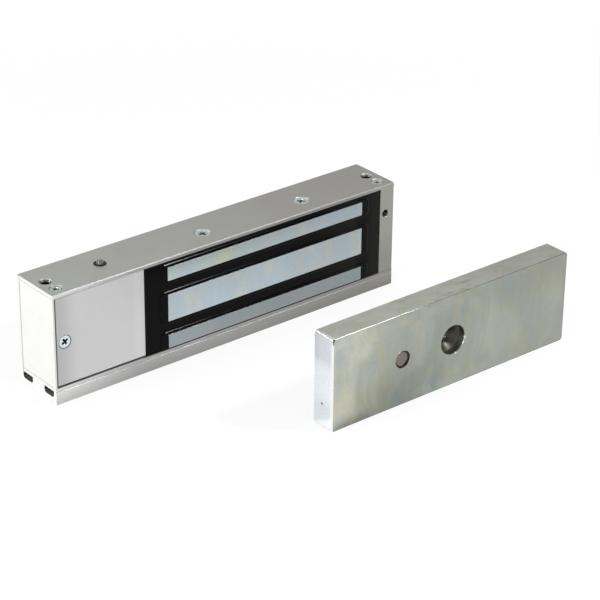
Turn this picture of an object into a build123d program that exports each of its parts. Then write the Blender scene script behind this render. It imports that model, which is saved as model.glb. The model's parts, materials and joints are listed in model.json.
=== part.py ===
"""Surface-mounted electromagnetic door lock, as a magnet unit and the armature plate that it holds.

Sizes are in millimetres. The origin is the centre of the mounting plate's underside. X runs along the
lock, -Y points out of the pole faces and +Z is up. The magnet unit stands on its mounting plate, and the
armature plate stands by itself on its long edge, in front of the poles and parallel to them.
"""
import os

from build123d import *

os.makedirs("parts", exist_ok=True)

# Magnet unit, overall; its length follows from the core's
lock_depth = 38.0
lock_height = 73.0

# Clearances that the fits share
screw_gap = 0.1  # a screw's shank in its tapped hole, on the radius
pass_gap = 0.3  # a screw's shank in a hole that it only passes through, on the radius
slip_gap = 0.05  # a lens or plug in the ring that holds it, on the radius
sink_gap = 0.2  # a countersunk head in its countersink, on the radius
sink_angle = 90.0  # of every countersink

# Mounting plate, an extrusion with two grooves along its upper side
base_thickness = 8.5
base_bevel = 0.6
groove_width = 10.3
groove_depth = 4.5
groove_corner = 2.2
groove_wall = 2.5
frame_hole_spacing = 148.0
frame_hole_radius = 2.6
frame_sink_radius = 5.0
frame_slot_spacing = 76.0
frame_slot_length = 14.0
frame_slot_width = 5.4
slot_recess_margin = 2.2
slot_recess_depth = 3.6
cable_hole_radius = 8.6

# Housing, a channel that is open at the front
housing_wall = 2.3
housing_back_wall = 2.6
housing_bevel = 0.5
seam_bevel = 0.3

# End blocks, with the bores for the two long fixing bolts
block_length = 11.2
end_inset = 7.8  # from the lock's ends to the fixing bores and the end screws
block_bevel = 0.25
bolt_bore_radius = 2.7
bolt_sink_radius = 4.1
bolt_tap_radius = 2.1
front_hole_radius = 2.5
front_hole_sink = 0.4
front_hole_depth = 11.0
front_hole_inset = 6.8
front_hole_height = 52.7

# Cover plate of the wiring space
cover_thickness = 1.5
cover_recess = 0.4
cover_lip = 1.0  # end block's rim beyond the cover
cover_gap = 0.6  # between the rim and the cover
cover_side_gap = 0.3
cover_top_gap = 0.3
cover_bottom_gap = 1.0
cover_bevel = 0.25

# Countersunk screws
end_screw_from_front = 8.1
end_screw_radius = 2.0
end_screw_head = 3.5
end_screw_sunk = 0.6
end_screw_length = 12.0
end_cross = 4.2
core_screw_from_front = 15.4
core_screw_spacing = 78.9
core_screw_radius = 3.0
core_screw_head = 4.9
core_screw_sunk = 0.4
core_screw_length = 13.5
core_cross = 6.2
cover_screw_radius = 2.0
cover_screw_head = 4.0
cover_screw_length = 9.0
cover_screw_height = 40.5
cross_arm = 1.1
cross_depth = 1.6
cross_taper = 8.0
cross_turn = 45.0
tap_end_gap = 1.0  # tapped holes go this much deeper than their screws

# Magnet core, an E seen from the end, with its three poles to the front
core_length = 155.5
core_from_left = 83.5  # to the lock's left end
core_from_right = 27.0  # to the lock's right end
core_depth = 31.0
core_proud = 0.1
core_lift = 0.45  # over the housing's bottom wall
core_drop = 4.25  # under the housing's top wall
core_module_count = 6  # an outer pole and a slot are one high each, the middle pole two
slot_depth = 21.8
pole_bevel = 0.15

# Coil on the middle pole
bobbin_depth = 18.0
bobbin_wall = 0.8
bobbin_clearance = 0.6
bobbin_corner = 6.0
tube_corner = 1.5
winding_margin = 0.5

# Potting that fills the housing round the core and coil
potting_from_left = 66.6
potting_recess = 0.8
potting_ledge = 2.5  # carries the cover's inner edge
pad_height = 0.7
pad_slope = 45.0
pad_side_margin = 6.1
pad_edge_margin = 2.3
pad_corner = 4.2

# Bond sensor, cast into the potting beside the core
sensor_size = (4.0, 1.6, 8.6)
sensor_from_left = 70.0
sensor_from_front = 5.0
sensor_pitch = 2.54
sensor_bevel = 0.5

# Indicator lamp in the housing's top wall
lamp_from_left = 47.2
lens_radius = 2.4
lens_centre_rise = 0.75
lens_flange_radius = 2.85
lens_flange_height = 1.0
bezel_radius = 4.0
bezel_rise = 0.45
bezel_edge = 0.3
bezel_neck_radius = 3.2
bezel_neck_depth = 4.0
lamp_lead_pitch = 2.54
lamp_lead_height = 57.0

# Circuit board in the wiring space
board_from_left = 14.5
board_width = 44.0
board_over_wall = 6.2
board_under_wall = 5.7
board_thickness = 1.6
board_corner = 1.5
standoff_length = 4.9
standoff_radius = 2.6
board_screw_inset = 3.0
board_screw_radius = 1.2
board_screw_head = 2.4
board_screw_head_height = 1.5
board_screw_length = 5.5

# Parts on the board; places are from the lock's left end and from its underside
terminal_ways = 6
terminal_pitch = 5.0
terminal_from_left = 21.0
terminal_bottom = 19.0
terminal_height = 10.0
terminal_depth = 9.0
terminal_slope = 2.5
terminal_well_radius = 1.7
terminal_well_depth = 3.0
terminal_mouth = 3.2
terminal_mouth_depth = 5.0
terminal_screw_height = 1.4
terminal_slot = 0.5
relay_size = (15.4, 12.5, 19.0)
relay_from_left = 21.0
relay_bottom = 33.5
relay_corner = 0.8
relay_edge = 0.4
varistor_radius = 4.5
varistor_thickness = 3.6
varistor_edge = 1.0
varistor_from_left = 42.0
varistor_height = 47.0
varistor_stand = 1.5
varistor_lead_pitch = 5.0
varistor_lead_radius = 0.35
header_pins = 3
header_pitch = 2.54
header_depth = 2.5
header_from_left = 40.0
header_height = 35.0
header_pin_size = 0.64
header_pin_length = 8.5
cap_size = (5.0, 6.0, 2.4)

# Wires from the coil, the sensor and the lamp to the board
lead_bend = 3.0
coil_lead_radius = 0.7
coil_lead_from_left = 52.5
coil_lead_heights = (49.0, 54.0)
coil_lead_from_front = 16.0
sensor_lead_radius = 0.35
sensor_lead_from_left = 54.5
lamp_lead_radius = 0.25

# Grommet where the supply cable enters from below
grommet_from_left = 37.0
grommet_hole_radius = 6.0
grommet_bore_radius = 3.5
grommet_flange_radius = 7.6
grommet_flange_height = 1.4
grommet_edge = 0.5

# Armature plate
armature_overhang = 17.25  # beyond each end of the core
armature_rim = 3.1  # beyond the core's upper and lower side
armature_thickness = 17.0
armature_from_left = 108.2
armature_gap = 127.2  # from the lock's front to the plate's face
armature_corner = 2.0
armature_edge = 0.5
armature_bore_radius = 4.5
armature_head_radius = 9.6
armature_head_depth = 4.5
armature_head_bevel = 0.5
armature_seat_radius = 8.8  # the cone under the bolt's head starts with it
armature_seat_depth = 9.5  # and ends here, at the bore
guide_pin_radius = 4.4
guide_pin_offset = 40.5
guide_pin_sunk = 0.5
guide_pin_stand = 6.0
guide_pin_bevel = 0.4
pin_relief_radius = 5.7
pin_relief_depth = 1.6

# Places and lengths worked out from the sizes above
lock_length = core_from_left + core_length + core_from_right
left_end = -lock_length / 2
right_end = lock_length / 2
front = -lock_depth / 2
back = lock_depth / 2
cavity_bottom = base_thickness + housing_wall
cavity_top = lock_height - housing_wall
cavity_height = cavity_top - cavity_bottom
cavity_back = back - housing_back_wall
end_xs = (left_end + end_inset, right_end - end_inset)
end_screw_y = front + end_screw_from_front
cover_front = front + cover_recess
cover_seat = cover_front + cover_thickness
core_left = left_end + core_from_left
core_centre = core_left + core_length / 2
core_front = front - core_proud
core_bottom = cavity_bottom + core_lift
core_top = cavity_top - core_drop
core_height = core_top - core_bottom
core_middle = core_bottom + core_height / 2
outer_pole = core_height / core_module_count
slot_height = core_height / core_module_count
middle_pole = core_height - 2 * outer_pole - 2 * slot_height
slot_offset = (middle_pole + slot_height) / 2
core_screw_y = front + core_screw_from_front
core_screw_xs = [core_centre + side * core_screw_spacing / 2 for side in (-1, 1)]
potting_left = left_end + potting_from_left
potting_right = right_end - block_length
potting_front = front + potting_recess
bobbin_front = core_front + slot_depth - bobbin_depth
board_back = cavity_back - standoff_length
board_front = board_back - board_thickness
board_bottom = cavity_bottom + board_over_wall
board_height = cavity_height - board_over_wall - board_under_wall
lamp_x = left_end + lamp_from_left
armature_length = core_length + 2 * armature_overhang
armature_height = core_height + 2 * armature_rim
armature_left = left_end + armature_from_left
armature_centre = armature_left + armature_length / 2
armature_face = front - armature_gap
armature_back = armature_face + armature_thickness
armature_middle = armature_height / 2


def front_plane(y, x=0, z=0):
    """A plane that faces the front, with its own X to the right and its own Y up."""
    return Plane(origin=(x, y, z), x_dir=(1, 0, 0), z_dir=(0, -1, 0))


def top_plane(x, y, z):
    """A plane that faces up, at a place on the lock's top."""
    return Plane(origin=(x, y, z), x_dir=(1, 0, 0), z_dir=(0, 0, 1))


def profile_plane(face):
    """The plane of a turned piece's profile: X is the radius, and Y runs out of the face."""
    return Plane(origin=face.origin, x_dir=face.x_dir, z_dir=-face.y_dir)


def save(piece, name):
    """Labels a finished piece and writes it as its own file."""
    piece.part.label = name
    export_step(piece.part, f"parts/{name}.step")


def countersunk_screws(faces, head_radius, shank_radius, length, cross):
    """Screws with flat countersunk heads and a cross recess, one for each face plane."""
    with BuildPart() as screws:
        for face in faces:
            with BuildSketch(profile_plane(face)):
                with BuildLine():
                    Polyline(
                        (0, 0),
                        (head_radius, 0),
                        (shank_radius, shank_radius - head_radius),
                        (shank_radius, -length),
                        (0, -length),
                        close=True,
                    )
                make_face()
            revolve(axis=Axis(face.origin, face.z_dir))
            with BuildSketch(face):
                Rectangle(cross, cross_arm, rotation=cross_turn)
                Rectangle(cross_arm, cross, rotation=cross_turn)
            extrude(amount=-cross_depth, taper=cross_taper, mode=Mode.SUBTRACT)
    return screws


def wires(routes, radius):
    """Insulated wires, one for each route of straight runs joined by arcs."""
    with BuildPart() as bundle:
        for route in routes:
            with BuildLine() as path:
                FilletPolyline(*route, radius=lead_bend)
            with BuildSketch(Plane(origin=path.line @ 0, z_dir=path.line % 0)):
                Circle(radius)
            sweep(path=path.line)
    return bundle


# Mounting plate
groove_centre = back - groove_wall - groove_width / 2
with BuildPart() as base_plate:
    with BuildSketch(Plane.YZ.offset(left_end)):
        with Locations((0, base_thickness / 2)):
            Rectangle(lock_depth, base_thickness)
        with Locations((-groove_centre, base_thickness), (groove_centre, base_thickness)):
            Rectangle(groove_width, 2 * groove_depth, mode=Mode.SUBTRACT)
    extrude(amount=lock_length)
    groove_floor = base_thickness - groove_depth
    floor_edges = base_plate.edges().filter_by(Axis.X).filter_by_position(
        Axis.Z, groove_floor, groove_floor
    )
    fillet(floor_edges, radius=groove_corner)
    upper_edges = base_plate.edges().filter_by(Axis.X).group_by(Axis.Z)[-1].sort_by(Axis.Y)
    chamfer([upper_edges[0], upper_edges[-1]], length=base_bevel)
    with Locations(*[(x, 0, base_thickness) for x in end_xs]):
        Hole(bolt_tap_radius, depth=base_thickness)
    with Locations((0, 0, base_thickness)):
        with GridLocations(frame_hole_spacing, 0, 2, 1):
            CounterSinkHole(
                frame_hole_radius, frame_sink_radius, depth=base_thickness, counter_sink_angle=sink_angle
            )
    with BuildSketch(Plane.XY):
        with GridLocations(frame_slot_spacing, 0, 2, 1):
            SlotOverall(frame_slot_length, frame_slot_width)
        with Locations((left_end + grommet_from_left, 0)):
            Circle(cable_hole_radius)
    extrude(amount=base_thickness, mode=Mode.SUBTRACT)
    with BuildSketch(Plane.XY.offset(base_thickness)):
        with GridLocations(frame_slot_spacing, 0, 2, 1):
            SlotOverall(
                frame_slot_length + 2 * slot_recess_margin, frame_slot_width + 2 * slot_recess_margin
            )
    extrude(amount=-slot_recess_depth, mode=Mode.SUBTRACT)
save(base_plate, "base_plate")

# Housing: one channel for the top, back and bottom walls
with BuildPart() as housing:
    with BuildSketch(Plane.YZ.offset(left_end)):
        with BuildLine():
            Polyline(
                (front, base_thickness),
                (back, base_thickness),
                (back, lock_height),
                (front, lock_height),
                (front, cavity_top),
                (cavity_back, cavity_top),
                (cavity_back, cavity_bottom),
                (front, cavity_bottom),
                close=True,
            )
        make_face()
    extrude(amount=lock_length)
    chamfer(housing.edges().filter_by(Axis.X).group_by(Axis.Z)[-1], length=housing_bevel)
    chamfer(housing.edges().filter_by(Axis.X).group_by(Axis.Z)[0], length=seam_bevel)
    with Locations(*[(x, 0, lock_height) for x in end_xs]):
        CounterSinkHole(bolt_bore_radius, bolt_sink_radius, depth=2 * housing_wall, counter_sink_angle=sink_angle)
    with Locations(*[(x, end_screw_y, lock_height) for x in end_xs]):
        CounterSinkHole(
            end_screw_radius + sink_gap,
            end_screw_head + end_screw_sunk + sink_gap,
            depth=2 * housing_wall,
            counter_sink_angle=sink_angle,
        )
    with Locations(*[(x, core_screw_y, lock_height) for x in core_screw_xs]):
        CounterSinkHole(
            core_screw_radius + pass_gap,
            core_screw_head + core_screw_sunk + sink_gap,
            depth=2 * housing_wall,
            counter_sink_angle=sink_angle,
        )
    with Locations((lamp_x, 0, lock_height)):
        Hole(bezel_neck_radius, depth=2 * housing_wall)
    with BuildSketch(Plane.XY.offset(base_thickness)):
        with Locations(*[(x, 0) for x in end_xs]):
            Circle(bolt_bore_radius)
        with Locations((left_end + grommet_from_left, 0)):
            Circle(grommet_hole_radius)
    extrude(amount=housing_wall, mode=Mode.SUBTRACT)
save(housing, "housing")


def drill_block(block_x):
    """The fixing bore and the end screw's tapped hole, which both end blocks have."""
    with Locations((block_x, 0, cavity_top)):
        Hole(bolt_bore_radius, depth=cavity_height)
    tap_depth = end_screw_length + end_screw_sunk - housing_wall + tap_end_gap
    with Locations((block_x, end_screw_y, cavity_top)):
        Hole(end_screw_radius + screw_gap, depth=tap_depth)


# Left end block, rebated for the cover, with a thin rim at the lock's end
with BuildPart() as left_end_block:
    with BuildSketch(Plane.XY.offset(cavity_bottom)):
        with BuildLine():
            Polyline(
                (left_end, front),
                (left_end + cover_lip, front),
                (left_end + cover_lip, cover_seat),
                (left_end + block_length, cover_seat),
                (left_end + block_length, cavity_back),
                (left_end, cavity_back),
                close=True,
            )
        make_face()
    extrude(amount=cavity_height)
    chamfer(left_end_block.faces().sort_by(Axis.X)[0].edges(), length=block_bevel)
    drill_block(end_xs[0])
    with Locations(front_plane(cover_seat, end_xs[0], cover_screw_height)):
        CounterSinkHole(
            cover_screw_radius + screw_gap,
            cover_screw_head + sink_gap - cover_thickness,
            depth=cover_screw_length - cover_thickness + tap_end_gap,
            counter_sink_angle=sink_angle,
        )
save(left_end_block, "left_end_block")

# Right end block, flush with the housing's lips, with a tapped hole in its face
with BuildPart() as right_end_block:
    with BuildSketch(Plane.XY.offset(cavity_bottom)):
        with Locations((right_end - block_length / 2, (front + cavity_back) / 2)):
            Rectangle(block_length, cavity_back - front)
    extrude(amount=cavity_height)
    chamfer(right_end_block.faces().sort_by(Axis.X)[-1].edges(), length=block_bevel)
    drill_block(end_xs[1])
    with BuildSketch(front_plane(front)):
        with Locations((right_end - front_hole_inset, front_hole_height)):
            Circle(front_hole_radius)
    extrude(amount=-front_hole_depth, mode=Mode.SUBTRACT)
    hole_rims = right_end_block.edges().filter_by(GeomType.CIRCLE).group_by(Axis.Y)[0]
    chamfer(hole_rims, length=front_hole_sink)
save(right_end_block, "right_end_block")

# Cover plate over the wiring space
cover_left = left_end + cover_lip + cover_gap
cover_right = potting_left - cover_side_gap
cover_low = cavity_bottom + cover_bottom_gap
cover_high = cavity_top - cover_top_gap
with BuildPart() as cover_plate:
    with BuildSketch(front_plane(cover_front)):
        with Locations(((cover_left + cover_right) / 2, (cover_low + cover_high) / 2)):
            Rectangle(cover_right - cover_left, cover_high - cover_low)
    extrude(amount=-cover_thickness)
    chamfer(cover_plate.faces().sort_by(Axis.Y)[0].edges(), length=cover_bevel)
    cover_screw_face = front_plane(cover_front, end_xs[0], cover_screw_height)
    with Locations(cover_screw_face):
        CounterSinkHole(
            cover_screw_radius + sink_gap,
            cover_screw_head + sink_gap,
            depth=cover_thickness,
            counter_sink_angle=sink_angle,
        )
save(cover_plate, "cover_plate")

# Screws of the cover, the end blocks and the core
cover_screw = countersunk_screws(
    [cover_screw_face], cover_screw_head, cover_screw_radius, cover_screw_length, end_cross
)
save(cover_screw, "cover_screw")
end_screws = countersunk_screws(
    [top_plane(x, end_screw_y, lock_height - end_screw_sunk) for x in end_xs],
    end_screw_head,
    end_screw_radius,
    end_screw_length,
    end_cross,
)
save(end_screws, "end_screws")
core_screws = countersunk_screws(
    [top_plane(x, core_screw_y, lock_height - core_screw_sunk) for x in core_screw_xs],
    core_screw_head,
    core_screw_radius,
    core_screw_length,
    core_cross,
)
save(core_screws, "core_screws")

# Core: the E profile, with tapped holes for its two screws in the upper pole
core_tap_bottom = lock_height - core_screw_sunk - core_screw_length - tap_end_gap
with BuildPart() as e_core:
    with BuildSketch(Plane.YZ.offset(core_left)):
        with Locations((core_front + core_depth / 2, core_middle)):
            Rectangle(core_depth, core_height)
        with Locations((core_front + slot_depth / 2, core_middle)):
            with GridLocations(0, 2 * slot_offset, 1, 2):
                Rectangle(slot_depth, slot_height, mode=Mode.SUBTRACT)
    extrude(amount=core_length)
    chamfer(e_core.edges().group_by(Axis.Y)[0], length=pole_bevel)
    with Locations(*[(x, core_screw_y, core_top) for x in core_screw_xs]):
        Hole(core_screw_radius + screw_gap, depth=core_top - core_tap_bottom)
save(e_core, "e_core")

# Bobbin: a tube round the middle pole with a flange at each end
flange_overhang = slot_height - bobbin_clearance
flange_length = core_length + 2 * flange_overhang
flange_height = middle_pole + 2 * flange_overhang
tube_length = core_length + 2 * bobbin_wall
tube_height = middle_pole + 2 * bobbin_wall
with BuildPart() as coil_bobbin:
    with BuildSketch(front_plane(bobbin_front)):
        with Locations((core_centre, core_middle)):
            RectangleRounded(flange_length, flange_height, bobbin_corner)
    extrude(amount=-bobbin_depth)
    with BuildSketch(front_plane(bobbin_front + bobbin_wall)):
        with Locations((core_centre, core_middle)):
            Rectangle(flange_length, flange_height)
            RectangleRounded(tube_length, tube_height, tube_corner, mode=Mode.SUBTRACT)
    extrude(amount=-(bobbin_depth - 2 * bobbin_wall), mode=Mode.SUBTRACT)
    with BuildSketch(front_plane(bobbin_front)):
        with Locations((core_centre, core_middle)):
            Rectangle(core_length, middle_pole)
    extrude(amount=-bobbin_depth, mode=Mode.SUBTRACT)
save(coil_bobbin, "coil_bobbin")

# Winding, as the outer form of the wound wire
with BuildPart() as coil_winding:
    with BuildSketch(front_plane(bobbin_front + bobbin_wall)):
        with Locations((core_centre, core_middle)):
            RectangleRounded(
                flange_length - 2 * winding_margin, flange_height - 2 * winding_margin, bobbin_corner
            )
            RectangleRounded(tube_length, tube_height, tube_corner, mode=Mode.SUBTRACT)
    extrude(amount=-(bobbin_depth - 2 * bobbin_wall))
save(coil_winding, "coil_winding")

# Bond sensor: a small moulded case with a slanted face, cast into the potting
sensor_x = left_end + sensor_from_left
sensor_y = front + sensor_from_front
sensor_length, sensor_depth, sensor_height = sensor_size
with BuildPart() as bond_sensor:
    with BuildSketch(front_plane(sensor_y)):
        with Locations((sensor_x, core_middle)):
            Rectangle(sensor_length, sensor_height)
    extrude(amount=-sensor_depth)
    chamfer(bond_sensor.edges().filter_by(Axis.Z).group_by(Axis.Y)[0], length=sensor_bevel)
save(bond_sensor, "bond_sensor")

# Wires to the board
board_left = left_end + board_from_left
sensor_lead_y = sensor_y + sensor_depth / 2
sensor_lead_start = sensor_x - sensor_length / 2
sensor_leads = wires(
    [
        [
            (sensor_lead_start, sensor_lead_y, core_middle + step * sensor_pitch),
            (left_end + sensor_lead_from_left, sensor_lead_y, core_middle + step * sensor_pitch),
            (left_end + sensor_lead_from_left, board_front, core_middle + step * sensor_pitch),
        ]
        for step in (-1, 0, 1)
    ],
    sensor_lead_radius,
)
save(sensor_leads, "sensor_leads")
coil_lead_y = front + coil_lead_from_front
coil_leads = wires(
    [
        [
            (potting_left - potting_ledge, coil_lead_y, height),
            (left_end + coil_lead_from_left, coil_lead_y, height),
            (left_end + coil_lead_from_left, board_front, height),
        ]
        for height in coil_lead_heights
    ],
    coil_lead_radius,
)
save(coil_leads, "coil_leads")
lens_bottom = lock_height - bezel_neck_depth - lens_flange_height
lamp_leads = wires(
    [
        [
            (lamp_x + side * lamp_lead_pitch / 2, 0, lens_bottom),
            (lamp_x + side * lamp_lead_pitch / 2, 0, lamp_lead_height),
            (lamp_x + side * lamp_lead_pitch / 2, board_front, lamp_lead_height),
        ]
        for side in (-1, 1)
    ],
    lamp_lead_radius,
)
save(lamp_leads, "lamp_leads")

# Potting: the block, a raised pad round each pole, and the hollows of what is cast in
pole_spans = (
    (core_bottom, core_bottom + outer_pole),
    (core_middle - middle_pole / 2, core_middle + middle_pole / 2),
    (core_top - outer_pole, core_top),
)
with BuildPart() as potting_resin:
    with BuildSketch(Plane.XY.offset(cavity_bottom)):
        with BuildLine():
            Polyline(
                (potting_left, potting_front),
                (potting_right, potting_front),
                (potting_right, cavity_back),
                (potting_left - potting_ledge, cavity_back),
                (potting_left - potting_ledge, cover_seat),
                (potting_left, cover_seat),
                close=True,
            )
        make_face()
    extrude(amount=cavity_height)
    for low, high in pole_spans:
        pad_low = max(low - pad_edge_margin, cavity_bottom)
        pad_high = high + pad_edge_margin
        with BuildSketch(front_plane(potting_front)):
            with Locations((core_centre, (pad_low + pad_high) / 2)):
                RectangleRounded(core_length + 2 * pad_side_margin, pad_high - pad_low, pad_corner)
        extrude(amount=pad_height, taper=pad_slope)
    add(e_core.part, mode=Mode.SUBTRACT)
    add(coil_bobbin.part, mode=Mode.SUBTRACT)
    add(coil_winding.part, mode=Mode.SUBTRACT)
    add(bond_sensor.part, mode=Mode.SUBTRACT)
    add(sensor_leads.part, mode=Mode.SUBTRACT)
    with Locations(*[(x, core_screw_y, cavity_top) for x in core_screw_xs]):
        Hole(core_screw_radius + pass_gap, depth=cavity_top - core_top)
        Hole(core_screw_radius + screw_gap, depth=cavity_top - core_tap_bottom)
save(potting_resin, "potting_resin")

# Lamp lens: a domed cap on a cylinder with a flange, pushed up into its bezel
with BuildPart() as lamp_lens:
    with BuildSketch(profile_plane(top_plane(lamp_x, 0, lens_bottom))):
        dome_centre = lock_height + lens_centre_rise - lens_bottom
        with BuildLine():
            Polyline(
                (0, dome_centre + lens_radius),
                (0, 0),
                (lens_flange_radius, 0),
                (lens_flange_radius, lens_flange_height),
                (lens_radius, lens_flange_height),
                (lens_radius, dome_centre),
            )
            CenterArc((0, dome_centre), lens_radius, 0, 90)
        make_face()
    revolve(axis=Axis((lamp_x, 0, 0), (0, 0, 1)))
save(lamp_lens, "lamp_lens")

# Lamp bezel: a ring on the top wall with a neck through it
with BuildPart() as lamp_bezel:
    with BuildSketch(Plane.XY.offset(lock_height)):
        with Locations((lamp_x, 0)):
            Circle(bezel_radius)
    extrude(amount=bezel_rise)
    fillet(lamp_bezel.edges().group_by(Axis.Z)[-1], radius=bezel_edge)
    with BuildSketch(Plane.XY.offset(lock_height)):
        with Locations((lamp_x, 0)):
            Circle(bezel_neck_radius)
    extrude(amount=-bezel_neck_depth)
    with Locations((lamp_x, 0, lock_height + bezel_rise)):
        Hole(lens_radius + slip_gap, depth=bezel_rise + bezel_neck_depth)
save(lamp_bezel, "lamp_bezel")

# Circuit board, its stand-offs and its screws
board_centre = (board_left + board_width / 2, board_bottom + board_height / 2)
screw_grid = (board_width - 2 * board_screw_inset, board_height - 2 * board_screw_inset)
with BuildPart() as circuit_board:
    with BuildSketch(front_plane(board_front)):
        with Locations(board_centre):
            RectangleRounded(board_width, board_height, board_corner)
            with GridLocations(*screw_grid, 2, 2):
                Circle(board_screw_radius + pass_gap, mode=Mode.SUBTRACT)
    extrude(amount=-board_thickness)
save(circuit_board, "circuit_board")

with BuildPart() as board_standoffs:
    with BuildSketch(front_plane(board_back)):
        with Locations(board_centre):
            with GridLocations(*screw_grid, 2, 2):
                RegularPolygon(standoff_radius, 6)
                Circle(board_screw_radius + screw_gap, mode=Mode.SUBTRACT)
    extrude(amount=-standoff_length)
save(board_standoffs, "board_standoffs")

with BuildPart() as board_screws:
    with BuildSketch(front_plane(board_front)):
        with Locations(board_centre):
            with GridLocations(*screw_grid, 2, 2):
                Circle(board_screw_head)
    extrude(amount=board_screw_head_height)
    head_rims = board_screws.edges().filter_by(GeomType.CIRCLE).group_by(Axis.Y)[0]
    fillet(head_rims, radius=board_screw_head_height / 2)
    with BuildSketch(front_plane(board_front)):
        with Locations(board_centre):
            with GridLocations(*screw_grid, 2, 2):
                Circle(board_screw_radius)
    extrude(amount=-board_screw_length)
save(board_screws, "board_screws")

# Terminal block: a sloped moulding with a screw well and a wire mouth for each way
terminal_left = left_end + terminal_from_left
terminal_length = terminal_ways * terminal_pitch
terminal_face = board_front - terminal_depth
terminal_middle = terminal_bottom + terminal_height / 2
way_xs = [terminal_left + (way + 0.5) * terminal_pitch for way in range(terminal_ways)]
with BuildPart() as terminal_block:
    with BuildSketch(Plane.YZ.offset(terminal_left)):
        with BuildLine():
            Polyline(
                (board_front, terminal_bottom),
                (board_front, terminal_bottom + terminal_height),
                (terminal_face + terminal_slope, terminal_bottom + terminal_height),
                (terminal_face, terminal_bottom + terminal_height - terminal_slope),
                (terminal_face, terminal_bottom),
                close=True,
            )
        make_face()
    extrude(amount=terminal_length)
    with BuildSketch(front_plane(terminal_face)):
        with Locations(*[(x, terminal_middle) for x in way_xs]):
            Circle(terminal_well_radius)
    extrude(amount=-terminal_well_depth, mode=Mode.SUBTRACT)
    with BuildSketch(Plane.XY.offset(terminal_bottom)):
        with Locations(*[(x, board_front - terminal_depth / 2) for x in way_xs]):
            Rectangle(terminal_mouth, terminal_mouth)
    extrude(amount=terminal_mouth_depth, mode=Mode.SUBTRACT)
save(terminal_block, "terminal_block")

with BuildPart() as terminal_screws:
    screw_top = terminal_face + terminal_well_depth - terminal_screw_height
    with BuildSketch(front_plane(screw_top)):
        with Locations(*[(x, terminal_middle) for x in way_xs]):
            Circle(terminal_well_radius - slip_gap)
    extrude(amount=-terminal_screw_height)
    with BuildSketch(front_plane(screw_top)):
        with Locations(*[(x, terminal_middle) for x in way_xs]):
            Rectangle(2 * terminal_well_radius, terminal_slot)
    extrude(amount=-terminal_screw_height / 2, mode=Mode.SUBTRACT)
save(terminal_screws, "terminal_screws")

# Relay, varistor and voltage jumper
relay_width, relay_depth, relay_height = relay_size
with BuildPart() as relay:
    with BuildSketch(front_plane(board_front)):
        with Locations((left_end + relay_from_left + relay_width / 2, relay_bottom + relay_height / 2)):
            Rectangle(relay_width, relay_height)
    extrude(amount=relay_depth)
    fillet(relay.edges().filter_by(Axis.Y), radius=relay_corner)
    chamfer(relay.faces().sort_by(Axis.Y)[0].edges(), length=relay_edge)
save(relay, "relay")

varistor_x = left_end + varistor_from_left
with BuildPart() as varistor:
    disc_y = board_front - varistor_stand - varistor_radius
    with BuildSketch(Plane.YZ.offset(varistor_x)):
        with Locations((disc_y, varistor_height)):
            Circle(varistor_radius)
    extrude(amount=varistor_thickness / 2, both=True)
    fillet(varistor.edges().filter_by(GeomType.CIRCLE), radius=varistor_edge)
    with BuildSketch(front_plane(board_front)):
        with Locations((varistor_x, varistor_height)):
            with GridLocations(0, varistor_lead_pitch, 1, 2):
                Circle(varistor_lead_radius)
    extrude(amount=varistor_stand + varistor_radius)
save(varistor, "varistor")

header_left = left_end + header_from_left
pin_xs = [header_left + (pin + 0.5) * header_pitch for pin in range(header_pins)]
with BuildPart() as jumper_header:
    with BuildSketch(front_plane(board_front)):
        with Locations((header_left + header_pins * header_pitch / 2, header_height)):
            Rectangle(header_pins * header_pitch, header_pitch)
    extrude(amount=header_depth)
    with BuildSketch(front_plane(board_front - header_depth)):
        with Locations(*[(x, header_height) for x in pin_xs]):
            Rectangle(header_pin_size, header_pin_size)
    extrude(amount=header_pin_length - header_depth)
save(jumper_header, "jumper_header")

cap_width, cap_depth, cap_height = cap_size
cap_hole = header_pin_size + 2 * slip_gap
with BuildPart() as jumper_cap:
    with BuildSketch(front_plane(board_front - header_depth)):
        with Locations(((pin_xs[0] + pin_xs[1]) / 2, header_height)):
            Rectangle(cap_width, cap_height)
        with Locations(*[(x, header_height) for x in pin_xs[:2]]):
            Rectangle(cap_hole, cap_hole, mode=Mode.SUBTRACT)
    extrude(amount=cap_depth)
save(jumper_cap, "jumper_cap")

# Cable grommet, with a flange on each side of the housing's bottom wall
with BuildPart() as cable_grommet:
    grommet_low = base_thickness - grommet_flange_height
    grommet_high = cavity_bottom + grommet_flange_height
    with BuildSketch(profile_plane(top_plane(left_end + grommet_from_left, 0, 0))):
        with BuildLine():
            Polyline(
                (grommet_bore_radius, grommet_low),
                (grommet_flange_radius, grommet_low),
                (grommet_flange_radius, base_thickness),
                (grommet_hole_radius, base_thickness),
                (grommet_hole_radius, cavity_bottom),
                (grommet_flange_radius, cavity_bottom),
                (grommet_flange_radius, grommet_high),
                (grommet_bore_radius, grommet_high),
                close=True,
            )
        make_face()
    revolve(axis=Axis((left_end + grommet_from_left, 0, 0), (0, 0, 1)))
    rims = cable_grommet.edges().filter_by(GeomType.CIRCLE)
    fillet(rims.group_by(Axis.Z)[0].sort_by(SortBy.RADIUS)[-1], radius=grommet_edge)
    fillet(rims.group_by(Axis.Z)[-1].sort_by(SortBy.RADIUS)[-1], radius=grommet_edge)
save(cable_grommet, "cable_grommet")

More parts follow.
